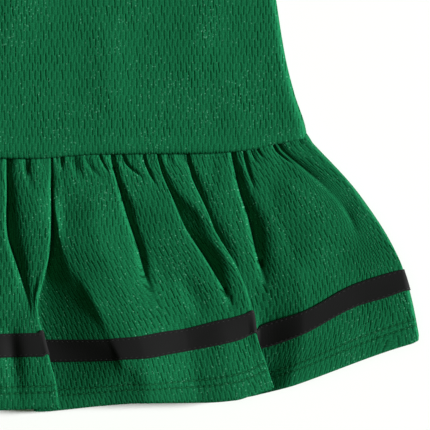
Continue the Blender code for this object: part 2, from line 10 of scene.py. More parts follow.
import bpy
import numpy as np
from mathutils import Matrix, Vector


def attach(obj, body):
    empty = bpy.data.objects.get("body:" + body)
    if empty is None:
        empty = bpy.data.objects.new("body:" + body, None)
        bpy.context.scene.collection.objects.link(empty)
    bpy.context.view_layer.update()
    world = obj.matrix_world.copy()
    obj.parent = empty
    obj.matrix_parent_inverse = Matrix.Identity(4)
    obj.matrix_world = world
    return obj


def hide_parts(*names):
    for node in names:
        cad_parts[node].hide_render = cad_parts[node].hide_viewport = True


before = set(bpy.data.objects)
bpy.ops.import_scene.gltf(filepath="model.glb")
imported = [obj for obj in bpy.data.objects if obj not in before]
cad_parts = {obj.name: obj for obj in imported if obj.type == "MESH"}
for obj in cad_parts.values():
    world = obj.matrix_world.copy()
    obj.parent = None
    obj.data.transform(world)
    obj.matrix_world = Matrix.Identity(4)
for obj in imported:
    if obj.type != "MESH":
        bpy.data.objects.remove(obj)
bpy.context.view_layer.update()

MM = 0.001

# Cloth
CLOTH = 0.7               # thickness of a jersey shell
BACK_CLEARANCE = 0.22     # room under the back cloth for its stitches
FRONT_REST = 1.8          # middle of the front cloth where it lies on the back
TAPE_THICKNESS = 0.45
TAPE_LIFT = CLOTH / 2 + 0.04 + TAPE_THICKNESS / 2
MESH_PITCH = 2.475        # from one eyelet to the next across the cloth
MESH_ROW = 3.645          # height of a row of eyelets
EYELET_LENGTH = 3.5
EYELET_WIDTH = 0.46
EYELET_STRAY = 0.08       # how far eyelets stray up and down, as a part of their spacing
STITCH_HEIGHT = 0.55      # height of one knitted loop
EYELET_LEAN = 0.4         # the most that eyelets lean to either side, in columns over one spacing
EYELET_CHANCE = 0.25      # how much an eyelet's half length varies, as a part of its length
COLUMN_DRIFT = 1.2        # how far columns of eyelets drift
EYELET_RIM = (0.1, 0.7)   # from an eyelet's middle line, where its hollow ends and the cloth is full
HEM_GROOVE = (0.9, 0.15)  # from a line of the hem's stitches, where its groove begins and is deepest
BINDING_RIB = 0.9
TAPE_RIB = 1.15

# Scales of the cloth's irregularities, in patches to the metre
DRIFT_SCALE = 160.0
STRAY_SCALE = 90.0
PATCH_SCALE = 70.0
TONE_SCALE = 35.0
GRAIN_SCALE = 2600.0
PUCKER_SCALE = 300.0
SPECK_SCALE = 850.0
SPECK_CHANCE_SCALE = 2500.0
CLUSTER_SCALE = 45.0
FINE_GATHER_SCALE = 620.0
FINE_GATHER_STRETCH = (1.0, 0.12, 1.0)
TAPE_FUZZ_SCALE = 2500.0
TAPE_TONE_SCALE = 60.0

# Relief of the finishes: depth of the whole in metres, and the share of its parts
Relief = namedtuple("Relief", "depth strength")
JERSEY_RELIEF = Relief(0.00018, 0.4)
TAPE_RELIEF = Relief(0.00004, 0.5)
BINDING_RELIEF = Relief(0.00012, 0.8)
LOOP_RELIEF = 0.1
GRAIN_RELIEF = 0.25
HEM_SEAM_RELIEF = -3.5
FINE_GATHER_RELIEF = 5.0
TAPE_RIB_RELIEF = 0.12

# Colours, painted shade, painted sheen and painted glints, and shine
YARN_DARK = (0.0032, 0.0752, 0.0262, 1.0)
YARN_LIGHT = (0.0036, 0.0822, 0.0287, 1.0)
# painted sheen: a paler, whiter green laid on the yarn by its grain and loops
YARN_PAINTED_SHEEN = (0.0099, 0.1582, 0.0652, 1.0)
# painted shade: the dark seen through the eyelets and in the grooves of the hem's stitches
PAINTED_SHADE_GREEN = (0.0002, 0.010, 0.0007, 1.0)
CLOTH_SPECULAR = 0.03
CLOTH_ROUGHNESS = 0.95
TAPE_SPECULAR = 0.045
# painted glints: bright specks of shine on the yarn
PAINTED_GLINT = (0.058, 0.250, 0.140, 1.0)
TAPE_DARK = (0.0108, 0.0108, 0.0110, 1.0)
TAPE_LIGHT = (0.0132, 0.0132, 0.0134, 1.0)
# painted shade: the binding is darker in the grooves between its ribs
BINDING_PAINTED_RIB_SHADE = (0.0031, 0.053, 0.0177, 1.0)
BINDING_LIGHT = (0.0042, 0.094, 0.0322, 1.0)
HEM_SEAM_SHADE = 0.48
DOUBLED_SHADE = -0.35     # doubled cloth shows less painted shade through its eyelets
LUSTRE = (0.75, 0.08)     # share of the yarn's painted sheen by its grain and by its loops
EVEN_PUCKER = 0.3         # share of the hem seam's shade that is even along it
PATCH_SPREAD = (0.3, 0.7)          # part of a noise that is drawn out to the full range
GRAIN_SPREAD = (0.25, 0.75)
EYELET_SHADE = (0.18, 0.32, 0.5)   # painted shade in every eyelet, more in patches, and more by chance
EYELET_EDGE = (0.2, 0.75)          # shares of the eyelet's width over which it fades out
LOOP_SHADE = 0.3                   # painted shade: the most that the knitted loops' grooves darken a column's middle
LOOP_EDGE = (0.04, 0.25)           # from the column's middle, where that begins to fade and ends
GLINT_CHANCE = (1.06, 1.16)        # sum of two noises at which a speck starts to shine, and is full
GLINT_EDGE = (0.1, 0.34)           # from a speck's middle, in parts of its cell, where it fades out

# Outline of the dress
SHOULDER_TOP = 217.8
SHOULDER_DROP = 12.0
NECK_HALF_WIDTH = 62.0
FRONT_NECK_DEPTH = 80.0
BACK_NECK_DEPTH = 34.0
STRAP_END = 88.0
UNDERARM = (113.0, 72.0)
ARMHOLE_LOWER_HANDLE = (89.0, 74.0)
ARMHOLE_UPPER_HANDLE = (79.0, 128.0)
ARMHOLE_PULL = 5.0        # the higher, the less the armhole bends the panel's inner columns
BINDING_WIDTH = 8.0
BINDING_THICKNESS = 1.1
BINDING_CROWN = 0.12      # how far the binding swells at its middle
SEAM_GAP = 0.3
BINDING_ROOM = 0.2        # between the binding's two halves, at the least
BINDING_OVERLAP = 0.2     # how far the binding's front half reaches below the cloth
BINDING_TURN_STEPS = 8    # sections that turn a binding over the shoulder
BINDING_SEAM_INSET = 1.5  # from the binding to the stitches that hold it
NECK_STEPS = 40           # along one half of the neck's edge
ARMHOLE_STEPS = 48

SideRow = namedtuple("SideRow", "height half_width")
SIDE_SEAM = (
    SideRow(-95.6, 141.8),
    SideRow(-89.0, 140.4),
    SideRow(-77.1, 136.3),
    SideRow(-60.0, 132.0),
    SideRow(-33.9, 127.8),
    SideRow(15.0, 121.0),
    SideRow(72.0, 113.0),
)
CurveRow = namedtuple("CurveRow", "across height")
WAIST_SEAM = (
    CurveRow(0.0, -105.0),
    CurveRow(20.0, -105.2),
    CurveRow(34.0, -104.1),
    CurveRow(48.0, -103.3),
    CurveRow(98.0, -102.8),
    CurveRow(108.0, -102.2),
    CurveRow(118.0, -100.9),
    CurveRow(126.0, -99.0),
    CurveRow(136.0, -97.2),
    CurveRow(141.8, -95.6),
)
HEM = (
    CurveRow(0.0, -218.6),
    CurveRow(32.0, -217.9),
    CurveRow(65.0, -215.3),
    CurveRow(104.0, -215.0),
    CurveRow(119.0, -212.0),
    CurveRow(140.0, -206.0),
    CurveRow(158.0, -199.2),
    CurveRow(176.0, -192.4),
    CurveRow(193.0, -187.0),
)

# Relief of the bodice
BODICE_CROWN = 1.2
WAIST_LIFT = 4.0
WAIST_LIFT_REACH = 46.0
SIDE_ROLL = 2.4
Wrinkle = namedtuple("Wrinkle", "across height length width angle rise")
BODICE_WRINKLES = (
    Wrinkle(93.0, -45.0, 62.0, 17.0, 82.0, 0.4),
    Wrinkle(108.0, -80.0, 44.0, 15.0, 112.0, 0.3),
    Wrinkle(52.0, -66.0, 50.0, 17.0, 95.0, 0.6),
    Wrinkle(10.0, -30.0, 60.0, 19.0, 84.0, 0.6),
    Wrinkle(72.0, 30.0, 70.0, 18.0, 62.0, 1.5),
    Wrinkle(-58.0, -50.0, 66.0, 16.0, 102.0, 1.0),
    Wrinkle(-100.0, -70.0, 46.0, 14.0, 70.0, 0.9),
    Wrinkle(-36.0, 26.0, 72.0, 18.0, 112.0, 1.4),
    Wrinkle(-84.0, 66.0, 52.0, 15.0, 130.0, 1.2),
    Wrinkle(28.0, 84.0, 48.0, 16.0, 40.0, 1.0),
)
BODICE_MAP_OFFSET = np.array((0.0, 1000.0))   # keeps the bodice's map clear of the hem lines
WAIST_ROLL = 4.2          # depth of the rolled lower edge of the bodice
WAIST_ROLL_RISE = 0.35
WAIST_ROLL_DROP = 1.3     # how far the roll's edge dips towards the seam
SHOULDER_FADE = 60.0      # below the shoulder, where the relief fades out
DOUBLED_EDGE = 1.2        # width over which doubled cloth turns into single cloth
PanelGrid = namedtuple("PanelGrid", "strap neck side armhole")
FRONT_GRID = PanelGrid(strap=16, neck=64, side=150, armhole=60)
BACK_GRID = PanelGrid(strap=8, neck=32, side=60, armhole=24)

# The ruffle's fold lines, each at five stations from the waist seam to the hem
STATIONS = (0.0, 0.3, 0.6, 0.8, 1.0)
FoldLine = namedtuple("FoldLine", "name kind gathers across height tape_slips hem_slip")
FRONT_FOLDS = (
    FoldLine("centre", "lobe", 1.5,
             (0.0, 0.0, 0.0, 0.0, 0.0), (4.8, 7.4, 8.6, 8.6, 5.6), (0.0, 0.0), 0.0),
    FoldLine("first valley", "valley", 3.0,
             (6.3, 7.2, 17.4, 19.4, 21.4), (2.8, 3.2, 5.0, 8.2, 5.2), (0.0, 0.0), 0.4),
    FoldLine("first lobe", "lobe", 1.5,
             (18.0, 21.0, 19.8, 23.4, 26.4), (5.6, 8.8, 9.5, 9.8, 7.2), (0.0, 0.0), 0.4),
    FoldLine("first pleat", "edge", 0.0,
             (26.5, 26.8, 20.9, 26.3, 30.2), (5.2, 8.8, 9.7, 10.0, 7.3), (0.8, 0.6), 0.9),
    FoldLine("first pleat", "under", 2.0,
             (26.5, 25.9, 18.4, 18.9, 18.9), (4.2, 3.4, 2.6, 2.6, 2.6), (-2.6, -1.8), -1.3),
    FoldLine("second lobe, foot", "slope", 1.0,
             (27.5, 30.0, 45.4, 54.4, 50.0), (5.3, 7.8, 9.3, 9.9, 4.6), (-3.9, -2.9), -0.2),
    FoldLine("second lobe", "lobe", 1.5,
             (31.0, 33.4, 49.4, 59.4, 64.0), (5.3, 8.0, 10.9, 11.7, 6.8), (-4.4, -3.3), 0.0),
    FoldLine("second lobe, right", "lobe", 1.5,
             (45.0, 48.0, 62.1, 69.3, 71.1), (5.9, 9.3, 11.8, 12.3, 7.6), (-3.8, -3.2), 0.0),
    FoldLine("second valley", "valley", 1.5,
             (53.1, 62.5, 74.7, 81.0, 84.6), (3.4, 4.8, 7.8, 9.8, 4.0), (-1.8, -1.2), 0.0),
    FoldLine("third lobe", "lobe", 2.5,
             (59.4, 68.0, 82.8, 89.1, 93.6), (5.4, 8.4, 9.8, 9.8, 6.4), (-0.6, 0.0), 0.0),
    FoldLine("third lobe, right", "lobe", 1.0,
             (71.1, 83.7, 100.8, 106.2, 109.8), (5.8, 9.1, 10.6, 10.8, 7.6), (2.6, 2.6), 0.4),
    FoldLine("third valley", "valley", 1.5,
             (73.6, 86.0, 105.8, 112.4, 117.0), (3.4, 4.2, 5.2, 9.4, 6.0), (2.5, 2.7), 0.8),
    FoldLine("fourth lobe", "lobe", 1.0,
             (80.0, 95.4, 113.2, 116.2, 123.4), (5.2, 8.6, 10.2, 10.6, 7.4), (2.9, 2.7), 1.6),
    FoldLine("second pleat", "edge", 0.0,
             (86.4, 98.6, 115.0, 118.9, 126.6), (5.0, 8.4, 10.0, 10.6, 7.4), (3.1, 2.8), 2.2),
    FoldLine("second pleat", "under", 2.0,
             (86.4, 96.3, 110.7, 108.0, 97.2), (4.2, 3.6, 2.8, 2.6, 2.6), (-4.2, -3.0), 0.0),
    FoldLine("fifth lobe, foot", "slope", 0.5,
             (89.0, 101.2, 116.6, 119.6, 117.0), (4.9, 7.7, 6.0, 3.2, 2.7), (-4.0, -2.9), 0.0),
    FoldLine("fifth lobe", "lobe", 1.5,
             (97.2, 107.0, 118.8, 121.6, 120.4), (5.3, 8.8, 6.4, 3.4, 2.8), (-2.4, -2.3), 0.0),
    FoldLine("fourth valley", "valley", 2.0,
             (107.6, 115.6, 123.8, 125.6, 125.0), (2.6, 3.2, 3.4, 3.3, 2.8), (-1.4, -1.9), 0.0),
    FoldLine("sixth lobe", "lobe", 1.5,
             (116.1, 129.6, 138.8, 140.0, 134.0), (5.3, 8.9, 9.2, 8.7, 7.0), (1.4, 1.3), 0.0),
    FoldLine("sixth lobe, right", "lobe", 1.0,
             (122.4, 144.0, 158.4, 164.7, 169.2), (5.4, 9.6, 10.0, 9.5, 7.9), (3.7, 3.3), 0.0),
    FoldLine("fifth valley", "valley", 1.5,
             (127.4, 155.6, 170.1, 176.0, 179.6), (3.4, 8.7, 10.2, 10.3, 8.4), (4.9, 3.9), 0.0),
    FoldLine("seventh lobe", "lobe", 1.5,
             (140.0, 164.1, 179.9, 186.6, 191.2), (5.1, 9.8, 11.3, 11.6, 9.4), (4.6, 3.8), 0.0),
    FoldLine("side", "side", 0.0,
             (141.8, 165.6, 181.4, 188.1, 192.6), (1.8, 2.4, 3.4, 3.6, 2.8), (3.8, 3.2), 0.0),
)
PLEAT_EDGE_RADIUS = 0.5
PLEAT_SPREAD = 0.4        # between the six lines of a pleat, where it lies open
PLEAT_OPEN = 4.0          # overlap from which a pleat is fully folded
LEFT_SWAY = 3.5           # how far the left half's fold lines sway from the right half's at the hem
LEFT_SWAY_WAVES = 3.0     # half waves of that between the centre and the side
LEFT_RISE = 0.10          # and how much their heights vary, as a part of them
STEEP_SIDE = 26.0         # exponent of a valley's steep side, towards the dress's centre
TIGHT_SIDE = 8.0          # the same where the valley leaves the seam
VALLEY_FADE = 0.28        # a valley fades out over this part of the way down
Valley = namedtuple("Valley", "opens soft_side ends")
VALLEYS = {
    "first valley": Valley(0.50, 1.2, 0.64),
    "second valley": Valley(0.22, 2.0, 0.60),
    "third valley": Valley(0.26, 1.3, 0.70),
    "fourth valley": Valley(0.45, 1.3, 0.60),
    "fifth valley": Valley(0.30, 1.8, 0.56),
}
GATHER_SHARE = 0.6        # gathers between fold lines, beside the listed creases
GATHER_RISE = 1.3
GATHER_LENGTHS = (0.05, 0.20)
FINE_GATHER_REACH = 0.17  # part of the way down over which the finest gathers show
CORNER_RADIUS = 3.2
FRONT_LOWEST = 2.0        # the front cloth lies no lower than this on the back
TUCK_REACH = 0.035        # part of the way down that is tucked under the bodice
TUCK_UP = 1.6
TUCK_DOWN = 1.0
SOFT_CREASE_WIDTH = 3.0   # wider creases lie free and fade out at both ends
RuffleGrid = namedtuple("RuffleGrid", "rows columns dense_part dense_share")
FRONT_RUFFLE_GRID = RuffleGrid(rows=78, columns=560, dense_part=0.24, dense_share=0.42)
BACK_RUFFLE_GRID = RuffleGrid(rows=70, columns=300, dense_part=0.22, dense_share=0.34)

# Short creases that run down from the waist seam, or lie softly lower down
Crease = namedtuple("Crease", "start bend end width depth")
CREASES = (
    Crease((14.9, -105.6), (15.8, -111.3), (18.5, -120.0), 0.75, 1.7),
    Crease((21.6, -105.2), (21.9, -107.0), (22.6, -109.4), 0.50, 0.9),
    Crease((28.6, -105.0), (29.0, -106.6), (29.8, -108.4), 0.50, 1.2),
    Crease((30.6, -105.0), (31.0, -107.7), (31.5, -110.0), 0.64, 1.1),
    Crease((34.2, -105.0), (34.8, -106.8), (36.2, -108.6), 0.48, 1.0),
    Crease((37.0, -105.0), (38.0, -109.5), (39.8, -115.0), 1.04, 2.1),
    Crease((42.0, -104.6), (44.6, -109.8), (49.5, -115.0), 0.64, 1.4),
    Crease((47.7, -103.9), (50.0, -107.3), (52.6, -111.8), 0.58, 1.3),
    Crease((51.0, -104.2), (52.6, -106.0), (54.8, -108.2), 0.48, 1.1),
    Crease((56.2, -104.2), (57.8, -107.4), (61.2, -111.2), 0.52, 1.2),
    Crease((58.2, -104.0), (61.6, -111.0), (70.0, -114.6), 0.70, 1.9),
    Crease((64.8, -103.4), (66.0, -104.4), (67.6, -106.0), 0.52, 0.9),
    Crease((68.2, -104.8), (69.4, -109.8), (74.2, -118.0), 0.70, 2.0),
    Crease((77.0, -104.0), (78.6, -106.6), (81.0, -110.0), 0.48, 1.1),
    Crease((79.2, -104.2), (80.0, -106.4), (82.0, -108.6), 0.58, 1.4),
    Crease((83.2, -104.2), (84.0, -105.8), (85.4, -107.4), 0.48, 0.9),
    Crease((85.9, -104.6), (86.3, -106.4), (88.2, -109.4), 0.93, 1.5),
    Crease((91.4, -104.0), (92.4, -106.4), (93.2, -109.4), 0.50, 1.0),
    Crease((99.0, -104.4), (99.9, -110.4), (101.3, -118.2), 0.75, 1.7),
    Crease((103.6, -103.6), (104.6, -106.2), (106.0, -109.4), 0.48, 1.0),
    Crease((113.3, -103.0), (114.8, -109.5), (118.6, -120.4), 0.75, 2.1),
    Crease((116.0, -102.0), (117.6, -104.6), (119.8, -107.6), 0.48, 1.0),
    Crease((118.8, -101.4), (120.2, -103.2), (122.4, -105.2), 0.52, 1.0),
    Crease((126.2, -99.6), (129.2, -103.9), (136.0, -108.2), 0.58, 2.3),
    Crease((132.6, -98.0), (134.6, -99.6), (138.0, -101.4), 0.46, 0.8),
    Crease((84.0, -156.0), (90.0, -167.0), (96.4, -177.0), 4.5, 1.2),
    Crease((8.0, -178.0), (9.5, -192.0), (12.0, -216.0), 3.8, 1.5),
)
CREASE_REACH = 0.40       # creases from the seam fade out before this part of the way down
CREASE_EASE = 0.05        # over this part of it. Below it creases mark open cloth, not the pleats

# The back ruffle
BACK_FOLD_COUNT = 15
BACK_GATHERS = 2.0
BACK_GATHER_RISE = 0.6
BACK_LOW = 0.65           # height of its valleys
BACK_CRESTS = (1.2, 1.6, 1.4, 1.4, 1.2)   # and of its crests, at the five stations
BACK_TAPE_SPAN = (0.64, 0.86)
BACK_HEM_SLIP = 1.6       # how much higher than the front hem it ends
BACK_SWAY = 2.4
BACK_TAPE_HEIGHT = 1.8    # room for the tape between it and the surface

TAPE_TOP = 0.695
TAPE_BOTTOM = 0.79
TAPE_SEAMS = (0.703, 0.782)
WAVER = 0.40              # how far a fold line wavers to either side
WAVER_RISE = 0.30         # and up and down
HIDDEN_TAKE_UP = 0.8      # width in which a deep valley hides cloth that is taken up
OPEN_TAKE_UP = 14.0       # and a shallow one
TAKE_UP_EASE = 7          # rows to either side over which one width turns into the other
OPEN_VALLEY_DEPTH = 2.5   # valleys this shallow take up none
CUT_ROW = 0.86            # part of the way down at which the cut cloth is measured
HEM_TURN = 10.8           # depth of the turned hem
HEM_TURN_EDGE = 0.8       # width over which the hem's double cloth shows
HEM_LINES = (7.4, 10.3)   # the twin needle's two lines above the hem's edge
RUFFLE_DEPTH = 113.0

# Sewing
Stitch = namedtuple("Stitch", "length width spacing")
BINDING_STITCH = Stitch(length=2.0, width=0.3, spacing=2.6)
FRONT_TAPE_STITCH = Stitch(length=1.9, width=0.24, spacing=2.4)
BACK_TAPE_STITCH = Stitch(length=1.9, width=0.2, spacing=2.4)
HEM_STITCH = Stitch(length=2.2, width=0.34, spacing=2.8)
STITCH_LIFT = 0.02        # from the cloth's surface to the middle of the thread
BACK_TAPE_SINK = 0.04     # how far the back tape's stitches lie in it
STITCH_AHEAD = 0.3        # the path's direction is taken this far to either side
PlainFinish = namedtuple("PlainFinish", "colour roughness specular")
GREEN_THREAD = PlainFinish((0.0024, 0.095, 0.0305, 1.0), 0.6, 0.2)
BLACK_THREAD = PlainFinish((0.012, 0.012, 0.012, 1.0), 0.6, 0.3)

# Stage, in metres and watts
FLOOR_SIZE = 6.0
PALE_FLOOR = PlainFinish((0.86, 0.86, 0.86, 1.0), 0.9, 0.1)
AreaLight = namedtuple("AreaLight", "name place target size power")
AREA_LIGHTS = (
    AreaLight("key light", (12.6, 0.9, 5.08), (0.06, -0.1, 0.0), 2.8, 5080.0),
    AreaLight("top light", (-0.3, 0.1, 2.4), (0.0, 0.0, 0.0), 2.0, 6.0),
)
SURROUND_COLOUR = (0.5, 1.0, 0.2, 1.0)
SURROUND_STRENGTH = 0.06

# Camera: the photo's 430 pixels span this width at the height of the dress
VIEW_WIDTH = 193.5
VIEW_CENTRE = (100.35, -130.65)
VIEW_HEIGHT = 6.0
LENS = 180.0
SENSOR = 36.0


def monotone_curve(knots, values, queries):
    """Smooth curve through the values that never overshoots them.

    The values may have several columns, each its own curve.
    """
    knots = np.asarray(knots, float)
    values = np.asarray(values, float)
    single = values.ndim == 1
    if single:
        values = values[:, None]
    spans = np.diff(knots)[:, None]
    slopes = np.diff(values, axis=0) / spans
    tangents = np.empty_like(values)
    tangents[0] = slopes[0]
    tangents[-1] = slopes[-1]
    before, after = slopes[:-1], slopes[1:]
    turning = before * after <= 0.0
    safe_sum = np.where(turning, 1.0, before + after)
    tangents[1:-1] = np.where(turning, 0.0, 2.0 * before * after / safe_sum)
    queries = np.asarray(queries, float)
    index = np.clip(np.searchsorted(knots, queries, side="right") - 1, 0, len(knots) - 2)
    span = spans[index]
    t = ((queries - knots[index])[:, None]) / span
    result = (
        (1 + 2 * t) * (1 - t) ** 2 * values[index]
        + t * (1 - t) ** 2 * span * tangents[index]
        + t * t * (3 - 2 * t) * values[index + 1]
        + t * t * (t - 1) * span * tangents[index + 1]
    )
    return result[:, 0] if single else result


def smooth_step(value):
    t = np.clip(value, 0.0, 1.0)
    return t * t * (3.0 - 2.0 * t)


def table_curve(table, across):
    rows = np.array(table)
    return monotone_curve(rows[:, 0], rows[:, 1], np.abs(np.ravel(across))).reshape(np.shape(across))


def waist_height(across):
    return table_curve(WAIST_SEAM, across)


def hem_height(across):
    return table_curve(HEM, across)


def sheet_normals(points):
    """Upward unit normals of a grid of points."""
    across = np.gradient(points, axis=0)
    down = np.gradient(points, axis=1)
    normals = np.cross(down, across)
    return normals / np.maximum(np.linalg.norm(normals, axis=2, keepdims=True), 1e-9)


def running_lengths(points):
    """Distance of each point from the first, along a path or several side by side."""
    steps = np.linalg.norm(np.diff(points, axis=0), axis=-1)
    return np.concatenate([np.zeros_like(steps[:1]), np.cumsum(steps, axis=0)])


def arc_fractions(points):
    lengths = running_lengths(points)
    return lengths / lengths[-1]


def grid_corners(grid):
    """The four corners of each cell of a grid, in turn."""
    return np.stack([grid[:-1, :-1], grid[:-1, 1:], grid[1:, 1:], grid[1:, :-1]], axis=2)


def at_rows(grid, rows, wanted):
    """A sheet's grid taken at other parts of the way down it."""
    columns = np.moveaxis(grid, 1, 2).reshape(-1, len(rows))
    picked = np.array([np.interp(wanted, rows, column) for column in columns])
    return np.moveaxis(picked.reshape(len(grid), -1, len(wanted)), 2, 1)


def add_sheet(name, points, cloth_uv, material, thickness=CLOTH, doubled=None, gathered=None):
    """Cloth shell over a grid of points, with the cut cloth's own coordinates as its UV map."""
    columns, rows = points.shape[:2]
    index = np.arange(columns * rows).reshape(columns, rows)
    quads = grid_corners(index).reshape(-1, 4)
    mesh = bpy.data.meshes.new(name)
    mesh.vertices.add(columns * rows)
    mesh.vertices.foreach_set("co", (points.reshape(-1) * MM).astype(np.float32))
    mesh.loops.add(quads.size)
    mesh.loops.foreach_set("vertex_index", quads.reshape(-1).astype(np.int32))
    mesh.polygons.add(len(quads))
    mesh.polygons.foreach_set("loop_start", (np.arange(len(quads)) * 4).astype(np.int32))
    mesh.update(calc_edges=True)
    layer = mesh.uv_layers.new(name="cloth")
    flat = (cloth_uv.reshape(-1, 2) * MM)[quads.reshape(-1)]
    layer.data.foreach_set("uv", flat.reshape(-1).astype(np.float32))
    for label, values in (("doubled", doubled), ("gathered", gathered)):
        attribute = mesh.attributes.new(label, "FLOAT", "POINT")
        values = np.zeros(columns * rows) if values is None else np.asarray(values).reshape(-1)
        attribute.data.foreach_set("value", values.astype(np.float32))
    mesh.shade_smooth()
    sheet = bpy.data.objects.new(name, mesh)
    mesh.materials.append(material)
    bpy.context.scene.collection.objects.link(sheet)
    wall = sheet.modifiers.new("cloth thickness", "SOLIDIFY")
    wall.thickness = thickness * MM
    wall.offset = 0.0
    wall.use_even_offset = False
    return sheet


def crease_depth(across, height):
    """Depth of all creases at places on the dress."""
    depth = np.zeros(np.shape(across))
    steps = np.linspace(0.0, 1.0, 13)
    for crease in CREASES:
        start, bend, end = np.array((crease.start, crease.bend, crease.end))
        path = np.array([(1 - t) ** 2 * start + 2 * t * (1 - t) * bend + t * t * end for t in steps])
        low, high = path.min(axis=0) - 4 * crease.width, path.max(axis=0) + 4 * crease.width
        near = ((across > low[0]) & (across < high[0]) & (height > low[1]) & (height < high[1]))
        if not near.any():
            continue
        place = np.stack([across[near], height[near]], axis=-1)
        best = np.full(len(place), 1e9)
        along = np.zeros(len(place))
        for number, (a, b) in enumerate(zip(path[:-1], path[1:])):
            t = np.clip(((place - a) @ (b - a)) / ((b - a) @ (b - a)), 0.0, 1.0)
            distance = np.linalg.norm(place - (a + t[:, None] * (b - a)), axis=1)
            closer = distance < best
            best[closer] = distance[closer]
            along[closer] = (number + t[closer]) / (len(path) - 1)
        taper = (0.7 + 0.3 * smooth_step(along / 0.3)) * np.clip(1.0 - along, 0.0, 1.0) ** 0.7
        if crease.width > SOFT_CREASE_WIDTH:
            taper = np.sin(math.pi * np.clip(along, 0.02, 0.98))
        values = crease.depth * taper * np.exp(-(best / crease.width) ** 2)
        depth[near] = np.maximum(depth[near], values)
    return depth


# Bodice

def neck_curve(depth, steps):
    angles = np.linspace(-math.pi / 2, math.pi / 2, 2 * steps + 1)
    return np.stack([NECK_HALF_WIDTH * np.sin(angles), SHOULDER_TOP - depth * np.cos(angles)], axis=1)


def armhole_curve(steps):
    t = np.linspace(0.0, 1.0, steps + 1)[:, None]
    start = np.array(UNDERARM)
    lower = np.array(ARMHOLE_LOWER_HANDLE)
    upper = np.array(ARMHOLE_UPPER_HANDLE)
    end = np.array((STRAP_END, SHOULDER_TOP - SHOULDER_DROP))
    return ((1 - t) ** 3 * start + 3 * t * (1 - t) ** 2 * lower
            + 3 * t * t * (1 - t) * upper + t ** 3 * end)


def bodice_points(neck_depth, grid):
    """Flat grid of a bodice panel, from its left side to its right side."""
    neck = neck_curve(neck_depth, grid.neck)[grid.neck:]
    along = np.linspace(0.0, 1.0, grid.strap + 1)[1:]
    strap = np.stack([
        NECK_HALF_WIDTH + (STRAP_END - NECK_HALF_WIDTH) * along,
        SHOULDER_TOP - SHOULDER_DROP * along,
    ], axis=1)
    top = np.concatenate([neck, strap])
    side_rows = np.array(SIDE_SEAM)
    heights = np.linspace(side_rows[0, 0], side_rows[-1, 0], grid.side + 1)
    side = np.stack([monotone_curve(side_rows[:, 0], side_rows[:, 1], heights), heights], axis=1)
    side = np.concatenate([side, armhole_curve(grid.armhole)[1:]])
    out = np.linspace(0.0, 1.0, len(top))
    across = out * side_rows[0, 1]
    waist = np.stack([across, waist_height(across)], axis=1)
    up = arc_fractions(side)
    centre = waist[0] + up[:, None] * (top[0] - waist[0])
    u = out[:, None, None]
    v = up[None, :, None]
    w = u ** ARMHOLE_PULL
    edges = (1 - v) * waist[:, None] + v * top[:, None] + (1 - w) * centre[None] + w * side[None]
    corners = ((1 - w) * ((1 - v) * waist[0] + v * top[0])
               + w * ((1 - v) * waist[-1] + v * top[-1]))
    right = edges - corners
    left = right[::-1].copy()
    left[..., 0] *= -1.0
    return np.concatenate([left[:-1], right])[:, ::-1]


def front_bodice_height(across, height):
    """Middle of the front bodice cloth above the surface."""
    armhole = armhole_curve(24)
    side = np.array(SIDE_SEAM)
    half_width = np.where(
        height < UNDERARM[1],
        np.interp(height, side[:, 0], side[:, 1]),
        np.interp(height, armhole[:, 1], armhole[:, 0]),
    )
    inset = np.maximum(half_width - np.abs(across), 0.0)
    inside = np.sqrt(1.0 - (1.0 - np.clip(inset / SIDE_ROLL, 0.0, 1.0)) ** 2)
    above_waist = np.maximum(height - waist_height(across), 0.0)
    rise = BODICE_CROWN + WAIST_LIFT * np.exp(-above_waist / WAIST_LIFT_REACH)
    for wrinkle in BODICE_WRINKLES:
        angle = math.radians(wrinkle.angle)
        along = (across - wrinkle.across) * math.cos(angle) + (height - wrinkle.height) * math.sin(angle)
        beside = (height - wrinkle.height) * math.cos(angle) - (across - wrinkle.across) * math.sin(angle)
        rise = rise + wrinkle.rise * np.exp(-(along / (wrinkle.length / 2)) ** 2
                                            - (beside / (wrinkle.width / 2)) ** 2)
    shoulder_fade = smooth_step((SHOULDER_TOP - height) / SHOULDER_FADE)
    return FRONT_REST + inside * rise * shoulder_fade


def build_front_bodice():
    flat = bodice_points(FRONT_NECK_DEPTH, FRONT_GRID)
    across, height = flat[..., 0], flat[..., 1]
    heights = front_bodice_height(across, height)
    above = height - waist_height(across)
    roll = np.clip(above / WAIST_ROLL, 0.0, 1.0)
    swell = np.sin(math.pi * np.clip(above / (2 * WAIST_ROLL), 0.0, 1.0)) ** 2
    heights = heights + WAIST_ROLL_RISE * swell
    heights = heights - WAIST_ROLL_DROP * (1.0 - roll) ** 3
    doubled = smooth_step((2 * WAIST_ROLL - above) / DOUBLED_EDGE)
    points = np.stack([across, height, heights], axis=2)
    return add_sheet("front_bodice_cloth", points, flat + BODICE_MAP_OFFSET, jersey, doubled=doubled)


def build_back_bodice():
    flat = bodice_points(BACK_NECK_DEPTH, BACK_GRID)
    heights = np.full(flat.shape[:2], CLOTH / 2 + BACK_CLEARANCE)
    points = np.concatenate([flat, heights[..., None]], axis=2)
    above = flat[..., 1] - waist_height(flat[..., 0])
    doubled = smooth_step((2 * WAIST_ROLL - above) / DOUBLED_EDGE)
    return add_sheet("back_bodice_cloth", points, flat + BODICE_MAP_OFFSET, jersey, doubled=doubled)


# Ruffles

